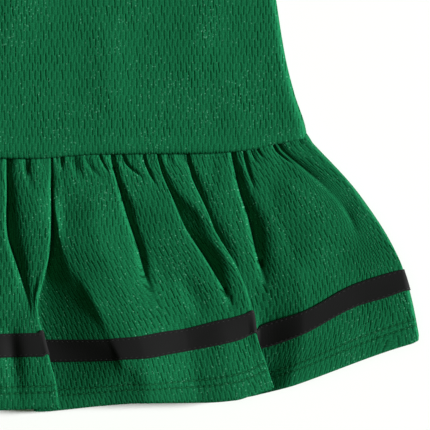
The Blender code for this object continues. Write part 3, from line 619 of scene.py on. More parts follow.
def pleat_lines(edge, under, rows):
    """Six lines that take the cloth over, round and under a pleat."""
    edge_x = monotone_curve(STATIONS, edge.across, rows)
    under_x = monotone_curve(STATIONS, under.across, rows)
    top = monotone_curve(STATIONS, edge.height, rows)
    bottom = monotone_curve(STATIONS, under.height, rows)
    overlap = np.maximum(edge_x - under_x, 0.0)
    folded = np.clip(overlap / PLEAT_OPEN, 0.0, 1.0)
    drop = top - bottom
    edge_bend = np.minimum(PLEAT_EDGE_RADIUS, 0.2 * drop)
    under_bend = (0.5 * drop - edge_bend) * (0.6 + 0.4 * folded)
    edge_round = np.minimum(PLEAT_EDGE_RADIUS, 0.35 * overlap)
    under_round = np.minimum(under_bend, 0.5 * overlap)
    across = np.stack([
        edge_x - edge_round, edge_x, edge_x - edge_round,
        under_x + under_round, under_x, under_x + under_round,
    ])
    spread = (np.arange(6) - 2.5) * PLEAT_SPREAD
    across = across + spread[:, None] * (1.0 - folded)
    heights = np.stack([
        top, top - edge_bend, top - 2 * edge_bend,
        bottom + 2 * under_bend, bottom + under_bend, bottom,
    ])
    return across, heights


def line_slips(fold, rows):
    """How far the cloth at a fold line lies above its even share of the way down."""
    above, below = fold.tape_slips
    knots = (0.0, 0.3, TAPE_TOP, TAPE_BOTTOM, 1.0)
    tape_slip = monotone_curve(knots, (0.0, 0.3 * above, above, below, 0.0), rows)
    return tape_slip + fold.hem_slip * np.asarray(rows) ** 2


def ruffle_height_down(across, rows, slips):
    seam = waist_height(across[:, :1])
    hem = hem_height(across[:, -1:])
    return seam + (hem - seam) * np.asarray(rows)[None] + slips


def waver(number, rows):
    """Small irregular waver of a fold line, nothing at the seam and the hem."""
    rows = np.asarray(rows)
    ends = smooth_step(rows / 0.12) * smooth_step((1.0 - rows) / 0.12)
    return ends * (np.sin(12.0 * rows + 2.1 * number) + 0.6 * np.sin(27.0 * rows + 3.7 * number))


def right_half_lines(rows):
    """Fold lines of the front ruffle's right half, with each one's kind and gathers."""
    across, heights, slips, gathers, kinds, names = [], [], [], [], [], []
    for number, fold in enumerate(FRONT_FOLDS):
        if fold.kind == "edge":
            continue
        slip = line_slips(fold, rows)
        if fold.kind == "under":
            edge = FRONT_FOLDS[number - 1]
            pleat_across, pleat_heights = pleat_lines(edge, fold, rows)
            across.extend(pleat_across + WAVER * waver(number, rows))
            heights.extend(pleat_heights)
            share = np.linspace(0.0, 1.0, 6)[:, None]
            slips.extend((1 - share) * line_slips(edge, rows) + share * slip)
            gathers.extend([0.0] * 5)
            kinds.extend(["pleat"] * 4 + ["turn", "pleat"])
            names.extend([fold.name] * 6)
        else:
            loose = 0.0 if fold.kind == "side" or number == 0 else 1.0
            sideways = loose * WAVER * waver(number, rows)
            upwards = loose * WAVER_RISE * waver(number + 0.5, rows)
            across.append(monotone_curve(STATIONS, fold.across, rows) + sideways)
            heights.append(monotone_curve(STATIONS, fold.height, rows) + upwards)
            slips.append(slip)
            kinds.append(fold.kind)
            names.append(fold.name)
        gathers.append(fold.gathers * GATHER_SHARE)
    return np.array(across), np.array(heights), np.array(slips), gathers[:-1], kinds, names


def front_ruffle_lines(rows):
    """All fold lines of the front ruffle, from its left side to its right side."""
    across, heights, slips, gathers, kinds, names = right_half_lines(rows)
    side = across[-1]
    turn = LEFT_SWAY_WAVES * math.pi * across / side
    left_across = across + LEFT_SWAY * np.sin(turn) * np.asarray(rows)[None]
    left_heights = FRONT_REST + (heights - FRONT_REST) * (1.0 + LEFT_RISE * np.sin(turn + 1.0))
    left = np.stack([-left_across, ruffle_height_down(left_across, rows, slips), left_heights], axis=2)
    right = np.stack([across, ruffle_height_down(across, rows, slips), heights], axis=2)
    lines = np.concatenate([left[:0:-1], right])
    return lines, gathers[::-1] + gathers, kinds[:0:-1] + kinds, names[:0:-1] + names


def back_ruffle_lines(rows):
    side_x = monotone_curve(STATIONS, FRONT_FOLDS[-1].across, rows)
    crest = monotone_curve(STATIONS, BACK_CRESTS, rows)
    rows = np.asarray(rows)
    reach = (rows - BACK_TAPE_SPAN[0]) / (TAPE_TOP - BACK_TAPE_SPAN[0])
    leave = (BACK_TAPE_SPAN[1] - rows) / (BACK_TAPE_SPAN[1] - TAPE_BOTTOM)
    over_tape = smooth_step(np.minimum(reach, leave))
    lines, gathers, kinds = [], [], []
    for number in range(-BACK_FOLD_COUNT, BACK_FOLD_COUNT + 1):
        share = number / BACK_FOLD_COUNT
        sway = BACK_SWAY * math.sin(2.3 * number) * rows * (1.0 - share * share)
        across = share * side_x + sway
        raised = number % 2 == 0 and abs(number) != BACK_FOLD_COUNT
        strength = 0.75 + 0.25 * math.sin(1.9 * number)
        heights = BACK_LOW + raised * strength * (crest - BACK_LOW)
        heights = heights + over_tape * (BACK_TAPE_HEIGHT - heights)
        seam = waist_height(across[:1])
        down = seam + (hem_height(across[-1:]) + BACK_HEM_SLIP - seam) * rows
        lines.append(np.stack([across, down, heights], axis=1))
        gathers.append(BACK_GATHERS)
        kinds.append("lobe" if raised else "valley")
    return np.array(lines), gathers[:-1], kinds


def shape_valleys(points, places, kinds, names, rows):
    """Lay each valley between its two lobes: steep towards the dress's centre, soft outwards."""
    middle = len(kinds) // 2
    for number, kind in enumerate(kinds):
        if kind != "valley":
            continue
        outward = 1 if number > middle else -1
        first, here, last = places[number - 1], places[number], places[number + 1]
        span = points[first:last + 1]
        share = arc_fractions(span[..., :2])
        bed = span[0, :, 2] + (span[-1, :, 2] - span[0, :, 2]) * (0.6 * share + 0.4 * smooth_step(share))
        at_valley = share[here - first]
        depth = bed[here - first] - points[here, :, 2]
        valley = VALLEYS[names[number]]
        fade = 1.0 - smooth_step((rows - valley.ends + VALLEY_FADE) / VALLEY_FADE)
        soft_side = TIGHT_SIDE + (valley.soft_side - TIGHT_SIDE) * smooth_step(rows / valley.opens)
        soft_side = soft_side * (1.0 + 0.22 * waver(number + 0.3, rows)) * (1.0 + 2.5 * (1.0 - fade))
        before = np.clip(share / at_valley, 0.0, 1.0)
        after = np.clip((1.0 - share) / (1.0 - at_valley), 0.0, 1.0)
        steep_side = 2.0 + (STEEP_SIDE - 2.0) * fade ** 2
        before_power, after_power = (steep_side, soft_side) if outward > 0 else (soft_side, steep_side)
        drop = np.where(share < at_valley, before ** before_power, after ** after_power)
        span[..., 2] = bed - depth * fade * drop


def fill_between(lines, gathers, total_columns):
    """Fill in the cloth between fold lines.

    Returns the points, each column's number of gathers from the left edge, and
    each fold line's column.
    """
    rows = lines.shape[1]
    lower = lines[:, int(0.7 * rows):]
    spans = np.maximum(np.linalg.norm(np.diff(lower, axis=0), axis=2).mean(axis=1), 0.5)
    knots = np.concatenate([[0.0], np.cumsum(spans)])
    counts = np.maximum(np.round(total_columns * spans / spans.sum()).astype(int),
                        np.ceil(np.array(gathers) * 6).astype(int))
    counts = np.maximum(counts, 3)
    queries, phases, places = [0.0], [0.0], [0]
    for start, end, count, number in zip(knots[:-1], knots[1:], counts, gathers):
        share = (np.arange(count) + 1) / count
        queries.extend(start + (end - start) * share)
        phases.extend(phases[-1] + number * share)
        places.append(places[-1] + count)
    values = lines.reshape(len(lines), -1)
    points = monotone_curve(knots, values, queries).reshape(len(queries), rows, 3)
    return points, np.array(phases), places


def gather_ripple(phases, rows, rise):
    """Uneven gathers at the waist seam: round crests between narrow creases."""
    number = np.round(phases)
    length = GATHER_LENGTHS[0] + (GATHER_LENGTHS[1] - GATHER_LENGTHS[0]) * (
        0.5 + 0.5 * np.sin(2.7 * number + 0.6 * np.sin(1.3 * number))) ** 2
    strength = 0.7 + 0.3 * np.sin(4.1 * number + 1.0)
    slide = 0.22 * np.sin(5.3 * np.floor(phases) + 2.0)
    place = phases + slide * np.sin(math.pi * np.mod(phases, 1.0)) ** 2
    fade = np.clip(1.0 - rows[None] / length[:, None], 0.0, 1.0) ** 1.3
    narrow = np.abs(np.cos(math.pi * (place - 0.5))) ** 0.35
    return rise * ((narrow - 0.8) * strength)[:, None] * fade


def round_corners(points, radius):
    """Round the sheet's two hem corners."""
    for side in (0, -1):
        edge = points[side]
        for number in range(points.shape[0] // 8):
            column = number if side == 0 else -1 - number
            inset = np.linalg.norm((points[column] - edge)[:, :2], axis=1)
            below = np.linalg.norm((points[column] - points[column, -1])[:, :2], axis=1)
            out = 1.0 - inset / radius
            down = 1.0 - below / radius
            near = (out > 0.0) & (down > 0.0)
            out, down = out[near], down[near]
            sign = 1.0 if side == 0 else -1.0
            points[column, near, 0] += sign * (out - out * np.sqrt(1.0 - down ** 2 / 2.0)) * radius
            points[column, near, 1] += (down - down * np.sqrt(1.0 - out ** 2 / 2.0)) * radius


def cloth_coordinates(points, places, kinds, rows):
    """Distance across the cut cloth of each point, true on the lobes.

    Cloth that is taken up towards the waist is hidden in the valleys.
    """
    arcs = running_lengths(points)
    low_row = int(np.searchsorted(rows, CUT_ROW))
    anchors = [0] + [place for place, kind in zip(places, kinds) if kind == "lobe"] + [places[-1]]
    valleys = [place for place, kind in zip(places, kinds) if kind in ("valley", "turn")]
    kept = [anchors[0]]
    cuts = []
    for anchor in anchors[1:]:
        between = [valley for valley in valleys if kept[-1] < valley < anchor]
        if between:
            cuts.append(between[0])
            kept.append(anchor)
    if kept[-1] != anchors[-1]:
        kept.append(anchors[-1])
        cuts.append(anchors[-1])
    result = arcs - arcs[kept[0]][None] + arcs[kept[0], low_row]
    for before, anchor, cut in zip(kept[:-1], kept[1:], cuts):
        from_anchor = arcs - arcs[anchor][None] + arcs[anchor, low_row]
        depth = np.minimum(points[before, :, 2], points[anchor, :, 2]) - points[cut, :, 2]
        shallow = 1.0 - smooth_step(depth / OPEN_VALLEY_DEPTH)
        shallow = np.convolve(np.pad(shallow, TAKE_UP_EASE, mode="edge"),
                              np.full(2 * TAKE_UP_EASE + 1, 1.0 / (2 * TAKE_UP_EASE + 1)), mode="valid")
        width = HIDDEN_TAKE_UP + (OPEN_TAKE_UP - HIDDEN_TAKE_UP) * shallow
        past = smooth_step((arcs - arcs[cut][None]) / width + 0.5)
        result = result * (1.0 - past) + from_anchor * past
    return result


def uneven_rows(grid):
    """Rows from seam to hem, closer together near the seam."""
    first = int(grid.rows * grid.dense_share)
    near = np.linspace(0.0, grid.dense_part, first, endpoint=False)
    far = np.linspace(grid.dense_part, 1.0, grid.rows - first)
    return np.concatenate([near, far])


def ruffle_sheet(name, points, places, kinds, rows):
    """Cloth of a ruffle, with its points, its map of the cut cloth and its rows."""
    uv = np.stack([cloth_coordinates(points, places, kinds, rows),
                   np.broadcast_to(RUFFLE_DEPTH * (1.0 - rows)[None], points.shape[:2])], axis=2)
    doubled = smooth_step((HEM_TURN - uv[..., 1]) / HEM_TURN_EDGE)
    gathered = np.broadcast_to(1.0 - smooth_step(rows / FINE_GATHER_REACH), points.shape[:2])
    return add_sheet(name, points, uv, jersey, doubled=doubled, gathered=gathered), points, uv, rows


def build_front_ruffle():
    rows = uneven_rows(FRONT_RUFFLE_GRID)
    lines, gathers, kinds, names = front_ruffle_lines(rows)
    points, phases, places = fill_between(lines, gathers, FRONT_RUFFLE_GRID.columns)
    shape_valleys(points, places, kinds, names, rows)
    points[..., 2] += gather_ripple(phases, rows, GATHER_RISE)
    round_corners(points, CORNER_RADIUS)
    open_cloth = np.ones(len(points))
    for place, next_place, kind in zip(places[:-1], places[1:], kinds[:-1]):
        if kind in ("pleat", "turn"):
            open_cloth[place:next_place] = 0.0
    reach = smooth_step((CREASE_REACH - rows) / CREASE_EASE)
    across, height = points[..., 0], points[..., 1]
    creases = np.maximum(crease_depth(across, height), crease_depth(-across, height))
    points[..., 2] -= creases * np.where(rows[None] > CREASE_REACH, open_cloth[:, None], reach[None])
    points[..., 2] = np.maximum(points[..., 2], FRONT_LOWEST)
    tucked = smooth_step((TUCK_REACH - rows) / TUCK_REACH)
    points[..., 1] += TUCK_UP * tucked[None]
    points[..., 2] -= TUCK_DOWN * tucked[None]
    return ruffle_sheet("front_ruffle_cloth", points, places, kinds, rows)


def build_back_ruffle():
    rows = uneven_rows(BACK_RUFFLE_GRID)
    lines, gathers, kinds = back_ruffle_lines(rows)
    points, phases, places = fill_between(lines, gathers, BACK_RUFFLE_GRID.columns)
    points[..., 2] += gather_ripple(phases, rows, BACK_GATHER_RISE)
    points[..., 2] = np.maximum(points[..., 2], CLOTH / 2 + BACK_CLEARANCE)
    return ruffle_sheet("back_ruffle_cloth", points, places, kinds, rows)


def build_tape(name, points, uv, rows, outward):
    """Tape on the ruffle, made from its own points, moved out from its surface."""
    inner = rows[(rows > TAPE_TOP) & (rows < TAPE_BOTTOM)]
    wanted = np.concatenate([[TAPE_TOP], inner, [TAPE_BOTTOM]])
    moved = points + outward * TAPE_LIFT * sheet_normals(points)
    moved, uv = (at_rows(grid, rows, wanted) for grid in (moved, uv))
    return add_sheet(name, moved, uv, tape_black, thickness=TAPE_THICKNESS)


# Bindings

def offset_path(path, distance):
    """Path moved to the right of its direction of travel."""
    tangents = np.gradient(path, axis=0)
    tangents /= np.linalg.norm(tangents, axis=1, keepdims=True)
    return path + distance * np.stack([tangents[:, 1], -tangents[:, 0]], axis=1), tangents


def binding_outline(width, thickness, steps=5):
    """Half-rounded section of a folded binding: distance from the seam and height."""
    outline = [(SEAM_GAP * 0.3, 0.0)]
    radius = thickness / 2
    for number in range(steps + 1):
        angle = -math.pi / 2 + math.pi * number / steps
        outline.append((width + SEAM_GAP - radius + radius * math.cos(angle),
                        radius + radius * math.sin(angle)))
    for share in (0.75, 0.5, 0.25):
        crown = BINDING_CROWN * math.sin(math.pi * share)
        outline.append((SEAM_GAP + (width - radius) * share, thickness + crown))
    outline.append((SEAM_GAP * 0.3, thickness))
    return np.array(outline)


def build_binding(name, front_path, back_path, away):
    """Binding ring: along the front edge, over the end, and back along the back."""
    outline = binding_outline(BINDING_WIDTH, BINDING_THICKNESS)
    levels = outline[:, 1]
    front, back = (np.stack([offset_path(path, away * distance)[0] for distance in outline[:, 0]], axis=1)
                   for path in (front_path, back_path))
    tangents = offset_path(front_path, 0.0)[1]
    rest = front_bodice_height(front_path[:, 0], front_path[:, 1]) - CLOTH / 2
    back_top = BINDING_THICKNESS + BINDING_CROWN
    bottoms = np.maximum(rest - BINDING_OVERLAP, back_top + BINDING_ROOM)

    def turn(station, direction):
        """Sections that take the binding over a shoulder, from the front to the back."""
        inner = (bottoms[station] - back_top) / 2
        angles = (math.pi * np.arange(1, BINDING_TURN_STEPS) / BINDING_TURN_STEPS)[:, None]
        out = (inner + levels) * np.sin(angles)
        across = front[station, :, 0] + direction[0] * out
        height = front[station, :, 1] + direction[1] * out
        return np.stack([across, height, back_top + inner + (inner + levels) * np.cos(angles)], axis=2)

    over = np.dstack([front, bottoms[:, None] + levels])
    under = np.dstack([back, np.broadcast_to(back_top - levels, back.shape[:2])])[::-1]
    ring = np.concatenate([over, turn(-1, tangents[-1]), under, turn(0, -tangents[0])[::-1]])
    count, width = ring.shape[:2]
    along, girth = (running_lengths(np.concatenate([path, path[:1]]))
                    for path in (ring.mean(axis=1), outline))
    flat = np.stack(np.meshgrid(along, girth, indexing="ij"), axis=-1)
    index = np.arange(count * width).reshape(count, width)
    index = np.pad(index, ((0, 1), (0, 1)), mode="wrap")
    facing = 1 if away > 0 else -1
    faces = grid_corners(index).reshape(-1, 4)[:, ::facing]
    coordinates = grid_corners(flat).reshape(-1, 4, 2)[:, ::facing]
    mesh = bpy.data.meshes.new(name)
    mesh.from_pydata((ring.reshape(-1, 3) * MM).tolist(), [], faces.tolist())
    layer = mesh.uv_layers.new(name="cloth")
    layer.data.foreach_set("uv", (coordinates * MM).reshape(-1).astype(np.float32))
    mesh.shade_smooth()
    mesh.materials.append(binding_rib)
    binding = bpy.data.objects.new(name, mesh)
    bpy.context.scene.collection.objects.link(binding)
    return binding


def binding_seam(edge, away, heights, up):
    """Stitch line on a bodice panel beside a binding."""
    path = offset_path(edge, -away * BINDING_SEAM_INSET)[0]
    path = np.column_stack([path, heights(path)])
    return path, np.tile((0.0, 0.0, up), (len(path), 1))


# Materials

class Value:
    """A value in a material's node tree. Arithmetic on it adds nodes."""

    def __init__(self, nodes, socket):
        self.nodes = nodes
        self.socket = socket

    def __add__(self, other):
        return self.nodes.math("ADD", self, other)

    def __sub__(self, other):
        return self.nodes.math("SUBTRACT", self, other)

    def __rsub__(self, other):
        return self.nodes.math("SUBTRACT", other, self)

    def __mul__(self, other):
        return self.nodes.math("MULTIPLY", self, other)

    def __truediv__(self, other):
        return self.nodes.math("DIVIDE", self, other)

    def __mod__(self, other):
        return self.nodes.math("FLOORED_MODULO", self, other)

    def __abs__(self):
        return self.nodes.math("ABSOLUTE", self)

    def floor(self):
        return self.nodes.math("FLOOR", self)

    def fraction(self):
        return self.nodes.math("FRACT", self)


class NodeTree:
    """Short forms for the nodes that the materials and the stitches use."""

    def __init__(self, tree):
        self.tree = tree

    def link(self, source, socket):
        if isinstance(source, Value):
            self.tree.links.new(source.socket, socket)
        else:
            socket.default_value = source

    def node(self, kind, output, settings=None, inputs=None):
        """Value of a new node's output, with the node's settings and inputs filled in."""
        node = self.tree.nodes.new(kind)
        for name, value in (settings or {}).items():
            setattr(node, name, value)
        for name, value in (inputs or {}).items():
            self.link(value, node.inputs[name])
        return Value(self, node.outputs[output])


class Finish(NodeTree):
    """Material of one finish, with short forms for its nodes."""

    def __init__(self, name):
        self.material = bpy.data.materials.new(name)
        self.material.use_nodes = True
        super().__init__(self.material.node_tree)
        self.shader = self.tree.nodes["Principled BSDF"]

    def math(self, operation, first, second=0.0):
        return self.node("ShaderNodeMath", 0, {"operation": operation}, {0: first, 1: second})

    def ramp(self, value, low, high):
        return self.node("ShaderNodeMapRange", 0, {"interpolation_type": "SMOOTHSTEP"},
                         {"Value": value, "From Min": low, "From Max": high})

    def mix(self, factor, first, second):
        return self.node("ShaderNodeMix", 2, {"data_type": "RGBA"}, {0: factor, 6: first, 7: second})

    def noise(self, vector, scale, detail=2.0):
        return self.node("ShaderNodeTexNoise", "Fac", None,
                         {"Scale": scale, "Detail": detail, "Vector": vector})

    def white_noise(self, first, second):
        place = self.node("ShaderNodeCombineXYZ", 0, None, {0: first, 1: second})
        return self.node("ShaderNodeTexWhiteNoise", "Value",
                         {"noise_dimensions": "2D"}, {"Vector": place})

    def attribute(self, name):
        return self.node("ShaderNodeAttribute", "Fac", {"attribute_name": name})

    def cloth_map(self):
        """Place on the cut cloth as a vector, and its parts across and along."""
        place = self.node("ShaderNodeUVMap", 0, {"uv_map": "cloth"})
        across, along = (self.node("ShaderNodeSeparateXYZ", axis, None, {0: place}) for axis in (0, 1))
        return place, across, along

    def bump(self, height, relief):
        bumped = self.node("ShaderNodeBump", 0, None,
                           {"Distance": relief.depth, "Strength": relief.strength, "Height": height})
        self.link(bumped, self.shader.inputs["Normal"])

    def finish(self, colour, roughness, specular):
        self.link(colour, self.shader.inputs["Base Color"])
        self.link(roughness, self.shader.inputs["Roughness"])
        self.link(specular, self.shader.inputs["Specular IOR Level"])
        return self.material


def ribs(nodes, place, spacing):
    return nodes.math("SINE", place * (2 * math.pi / (spacing * MM)))


def eyelets(nodes, cloth, u, v):
    """Distance from the nearest eyelet, the painted shade in the eyelets and between the knitted loops,
    and the chance of each knitted loop.
    """
    drift = nodes.noise(cloth, DRIFT_SCALE) - 0.5
    across = (drift * (COLUMN_DRIFT * MM) + u) / (MESH_PITCH / 2 * MM)
    column = across.floor()
    stagger = nodes.white_noise(column, 0.5) * EYELET_STRAY + (column % 2.0) * 0.5
    up = v / (2 * MESH_ROW * MM) + (nodes.noise(cloth, STRAY_SCALE) * (2 * EYELET_STRAY) + stagger)
    chance = nodes.white_noise(column, up.floor())
    dx = across.fraction() - 0.5
    dy = up.fraction() - 0.5
    lean = dy * (chance * (2 * EYELET_LEAN) - EYELET_LEAN)
    dx = abs(dx + lean) * (MESH_PITCH / 2)
    half_length = (chance * EYELET_CHANCE + (0.5 - EYELET_CHANCE / 2)) * EYELET_LENGTH
    dy = nodes.math("MAXIMUM", abs(dy) * (2 * MESH_ROW) - half_length, 0.0)
    distance = nodes.math("SQRT", dx * dx + dy * dy)
    hole = 1.0 - nodes.ramp(distance, *(EYELET_WIDTH * share for share in EYELET_EDGE))
    patchy = nodes.ramp(nodes.noise(cloth, PATCH_SCALE), *PATCH_SPREAD)
    every, in_patches, by_chance = EYELET_SHADE
    strength = patchy * in_patches + every + chance * by_chance
    loop = nodes.white_noise(column, (v / (STITCH_HEIGHT * MM)).floor())
    groove = (1.0 - nodes.ramp(dx, *LOOP_EDGE)) * (loop * LOOP_SHADE)
    # painted shade in the eyelets and in the grooves between the loops
    depth = nodes.math("MAXIMUM", hole * strength, groove)
    seen_through = nodes.attribute("doubled") * DOUBLED_SHADE + 1.0
    return distance, depth * seen_through, loop


def add_glints(nodes, cloth, colour):
    """Painted glints: sparse bright specks of shine on the yarn, in loose clusters."""
    speck = {"Scale": SPECK_SCALE, "Vector": cloth}
    place = nodes.node("ShaderNodeTexVoronoi", "Position", None, speck)
    distance = nodes.node("ShaderNodeTexVoronoi", "Distance", None, speck)
    lucky = nodes.noise(place, SPECK_CHANCE_SCALE, 0.0) + nodes.noise(cloth, CLUSTER_SCALE)
    close = 1.0 - nodes.ramp(distance, *GLINT_EDGE)
    return nodes.mix(nodes.ramp(lucky, *GLINT_CHANCE) * close, colour, PAINTED_GLINT)


def make_jersey():
    """Green mesh jersey: staggered rows of long eyelets between knitted ribs, with painted shade in the
    eyelets, between the loops and in the hem's stitch grooves, and painted sheen and painted glints on
    the yarn.
    """
    nodes = Finish("green mesh jersey")
    cloth, u, v = nodes.cloth_map()
    beside_eyelet, knit_painted_shade, loop = eyelets(nodes, cloth, u, v)
    tone = nodes.ramp(nodes.noise(cloth, TONE_SCALE, 3.0), *PATCH_SPREAD)
    grain = nodes.ramp(nodes.noise(cloth, GRAIN_SCALE, 0.0), *GRAIN_SPREAD)
    # painted sheen, in specks of grain and along the loops
    painted_sheen = grain * LUSTRE[0] + loop * LUSTRE[1]
    yarn = nodes.mix(painted_sheen, nodes.mix(tone, YARN_DARK, YARN_LIGHT), YARN_PAINTED_SHEEN)
    begins, deepest = (distance * MM for distance in HEM_GROOVE)
    grooves = [nodes.ramp(abs(v - line * MM), begins, deepest) for line in HEM_LINES]
    pucker = nodes.noise(cloth, PUCKER_SCALE) * (1.0 - EVEN_PUCKER) + EVEN_PUCKER
    seam = nodes.math("MAXIMUM", *grooves) * pucker
    # painted shade in the eyelets, between the loops and in the hem's stitch grooves
    colour = nodes.mix(seam * HEM_SEAM_SHADE, nodes.mix(knit_painted_shade, yarn, PAINTED_SHADE_GREEN), PAINTED_SHADE_GREEN)
    streaks = nodes.node("ShaderNodeMapping", 0, None, {"Scale": FINE_GATHER_STRETCH, "Vector": cloth})
    fine_gathers = nodes.noise(streaks, FINE_GATHER_SCALE, 1.0) * nodes.attribute("gathered")
    height = ribs(nodes, v, STITCH_HEIGHT) * LOOP_RELIEF + nodes.ramp(beside_eyelet, *EYELET_RIM)
    height = grain * GRAIN_RELIEF + height
    height = seam * HEM_SEAM_RELIEF + height
    height = fine_gathers * FINE_GATHER_RELIEF + height
    nodes.bump(height, JERSEY_RELIEF)
    shine = knit_painted_shade * -CLOTH_SPECULAR + CLOTH_SPECULAR
    return nodes.finish(add_glints(nodes, cloth, colour), CLOTH_ROUGHNESS, shine)


def make_tape():
    nodes = Finish("black tape")
    cloth, u = nodes.cloth_map()[:2]
    fuzz = nodes.noise(cloth, TAPE_FUZZ_SCALE)
    nodes.bump(ribs(nodes, u, TAPE_RIB) * TAPE_RIB_RELIEF + fuzz, TAPE_RELIEF)
    tone = nodes.mix(nodes.noise(cloth, TAPE_TONE_SCALE), TAPE_DARK, TAPE_LIGHT)
    return nodes.finish(tone, CLOTH_ROUGHNESS, TAPE_SPECULAR)


def make_binding():
    nodes = Finish("green jersey binding")
    rib = ribs(nodes, nodes.cloth_map()[1], BINDING_RIB)
    nodes.bump(rib, BINDING_RELIEF)
    # painted shade: darker in the grooves between the ribs
    tone = nodes.mix(nodes.ramp(rib, -1.0, 1.0), BINDING_PAINTED_RIB_SHADE, BINDING_LIGHT)
    return nodes.finish(tone, CLOTH_ROUGHNESS, CLOTH_SPECULAR)


# Sewing

def stitch_tree(name, sizes, material):
    """Geometry nodes that lay a small rounded stitch on each point of a mesh."""
    tree = bpy.data.node_groups.new(name, "GeometryNodeTree")
    tree.interface.new_socket("Geometry", in_out="INPUT", socket_type="NodeSocketGeometry")
    for label, value in sizes.items():
        socket = tree.interface.new_socket(label, in_out="INPUT", socket_type="NodeSocketFloat")
        socket.default_value = value
    tree.interface.new_socket("Geometry", in_out="OUTPUT", socket_type="NodeSocketGeometry")
    nodes = NodeTree(tree)
    sockets = tree.nodes.new("NodeGroupInput").outputs[:3]
    guide, length, width = (Value(nodes, socket) for socket in sockets)
    ball = nodes.node("GeometryNodeMeshUVSphere", "Mesh", None,
                      {"Segments": 6, "Rings": 5, "Radius": 0.5})
    ball = nodes.node("GeometryNodeSetShadeSmooth", "Geometry", None, {"Geometry": ball})
    shape = nodes.node("ShaderNodeCombineXYZ", "Vector", None, {"X": length, "Y": width, "Z": width})
    points = nodes.node("GeometryNodeMeshToPoints", "Points", None, {"Mesh": guide})
    along, up = (nodes.node("GeometryNodeInputNamedAttribute", "Attribute",
                            {"data_type": "FLOAT_VECTOR"}, {"Name": label}) for label in ("along", "up"))
    aim = nodes.node("FunctionNodeAlignRotationToVector", "Rotation", {"axis": "X"}, {"Vector": along})
    aim = nodes.node("FunctionNodeAlignRotationToVector", "Rotation",
                     {"axis": "Z", "pivot_axis": "X"}, {"Rotation": aim, "Vector": up})
    stitches = nodes.node("GeometryNodeInstanceOnPoints", "Instances", None,
                          {"Points": points, "Instance": ball, "Rotation": aim, "Scale": shape})
    stitches = nodes.node("GeometryNodeRealizeInstances", "Geometry", None, {"Geometry": stitches})
    stitches = nodes.node("GeometryNodeSetMaterial", "Geometry", None,
                          {"Geometry": stitches, "Material": material})
    nodes.link(stitches, tree.nodes.new("NodeGroupOutput").inputs["Geometry"])
    return tree


def front_level(path):
    return front_bodice_height(path[:, 0], path[:, 1]) + CLOTH / 2 + STITCH_LIFT


def back_inside(path):
    return np.full(len(path), BACK_CLEARANCE + CLOTH + STITCH_LIFT)


def back_outside(path):
    return np.full(len(path), BACK_CLEARANCE - STITCH_LIFT)


def even_points(path, normals, spacing):
    """Points, directions and normals at even spacing along a path."""
    lengths = running_lengths(path)
    count = max(int(lengths[-1] / spacing), 2)
    wanted = (np.arange(count) + 0.5) * lengths[-1] / count

    def pick(values, distances):
        return np.stack([np.interp(distances, lengths, values[:, k]) for k in range(3)], axis=1)

    along = pick(path, wanted + STITCH_AHEAD) - pick(path, wanted - STITCH_AHEAD)
    return pick(path, wanted), along, pick(normals, wanted)


def sew(name, seams, stitch, material):
    """One mesh of all the stitches along several seams."""
    runs = [even_points(path, normals, stitch.spacing) for path, normals in seams]
    places, alongs, ups = (np.concatenate(part) for part in zip(*runs))
    mesh = bpy.data.meshes.new(name + "_guide")
    mesh.from_pydata((places * MM).tolist(), [], [])
    for label, values in (("along", alongs), ("up", ups)):
        attribute = mesh.attributes.new(label, "FLOAT_VECTOR", "POINT")
        attribute.data.foreach_set("vector", values.reshape(-1).astype(np.float32))
    guide = bpy.data.objects.new(name + "_guide", mesh)
    bpy.context.scene.collection.objects.link(guide)
    sizes = {"Stitch length": stitch.length * MM, "Thread width": stitch.width * MM}
    tree = stitch_tree(name, sizes, material)
    modifier = guide.modifiers.new("stitches", "NODES")
    modifier.node_group = tree
    for item in tree.interface.items_tree:
        if item.in_out == "INPUT" and item.name in sizes:
            modifier[item.identifier] = sizes[item.name]
    graph = bpy.context.evaluated_depsgraph_get()
    made = bpy.data.meshes.new_from_object(guide.evaluated_get(graph), depsgraph=graph)
    made.name = name
    sewing = bpy.data.objects.new(name, made)
    bpy.context.scene.collection.objects.link(sewing)
    bpy.data.objects.remove(guide, do_unlink=True)
    return sewing


def ruffle_seams(points, rows, places, lift):
    """Paths across a ruffle at parts of the way down it, lifted off its surface, and their normals."""
    normals = sheet_normals(points)
    grids = (points + lift * normals, normals)
    return [tuple(at_rows(grid, rows, [down])[:, 0] for grid in grids) for down in places]


# Stage

def build_floor():
    bpy.ops.mesh.primitive_plane_add(size=FLOOR_SIZE, location=(0.0, 0.0, 0.0))
    floor = bpy.context.object
    floor.name = "floor"
    floor.data.materials.append(Finish("pale floor").finish(*PALE_FLOOR))
    return floor


def add_area_light(spec):
    data = bpy.data.lights.new(spec.name, "AREA")
    data.shape = "SQUARE"
    data.size = spec.size
    data.energy = spec.power
    light = bpy.data.objects.new(spec.name, data)
    light.location = spec.place
    light.rotation_euler = (Vector(spec.target) - Vector(spec.place)).to_track_quat("-Z", "Y").to_euler()
    bpy.context.scene.collection.objects.link(light)


def light_surround():
    world = bpy.context.scene.world or bpy.data.worlds.new("world")
    bpy.context.scene.world = world
    world.use_nodes = True
    background = world.node_tree.nodes["Background"]
    background.inputs["Color"].default_value = SURROUND_COLOUR
    background.inputs["Strength"].default_value = SURROUND_STRENGTH


def build_camera():
    data = bpy.data.cameras.new("camera")
    data.lens = LENS
    data.sensor_width = SENSOR
    camera = bpy.data.objects.new("camera", data)
    distance = VIEW_WIDTH * MM * LENS / SENSOR
    camera.location = (VIEW_CENTRE[0] * MM, VIEW_CENTRE[1] * MM, distance + VIEW_HEIGHT * MM)
    bpy.context.scene.collection.objects.link(camera)
    bpy.context.scene.camera = camera


jersey = make_jersey()
tape_black = make_tape()
binding_rib = make_binding()
green_thread = Finish("green thread").finish(*GREEN_THREAD)
black_thread = Finish("black thread").finish(*BLACK_THREAD)

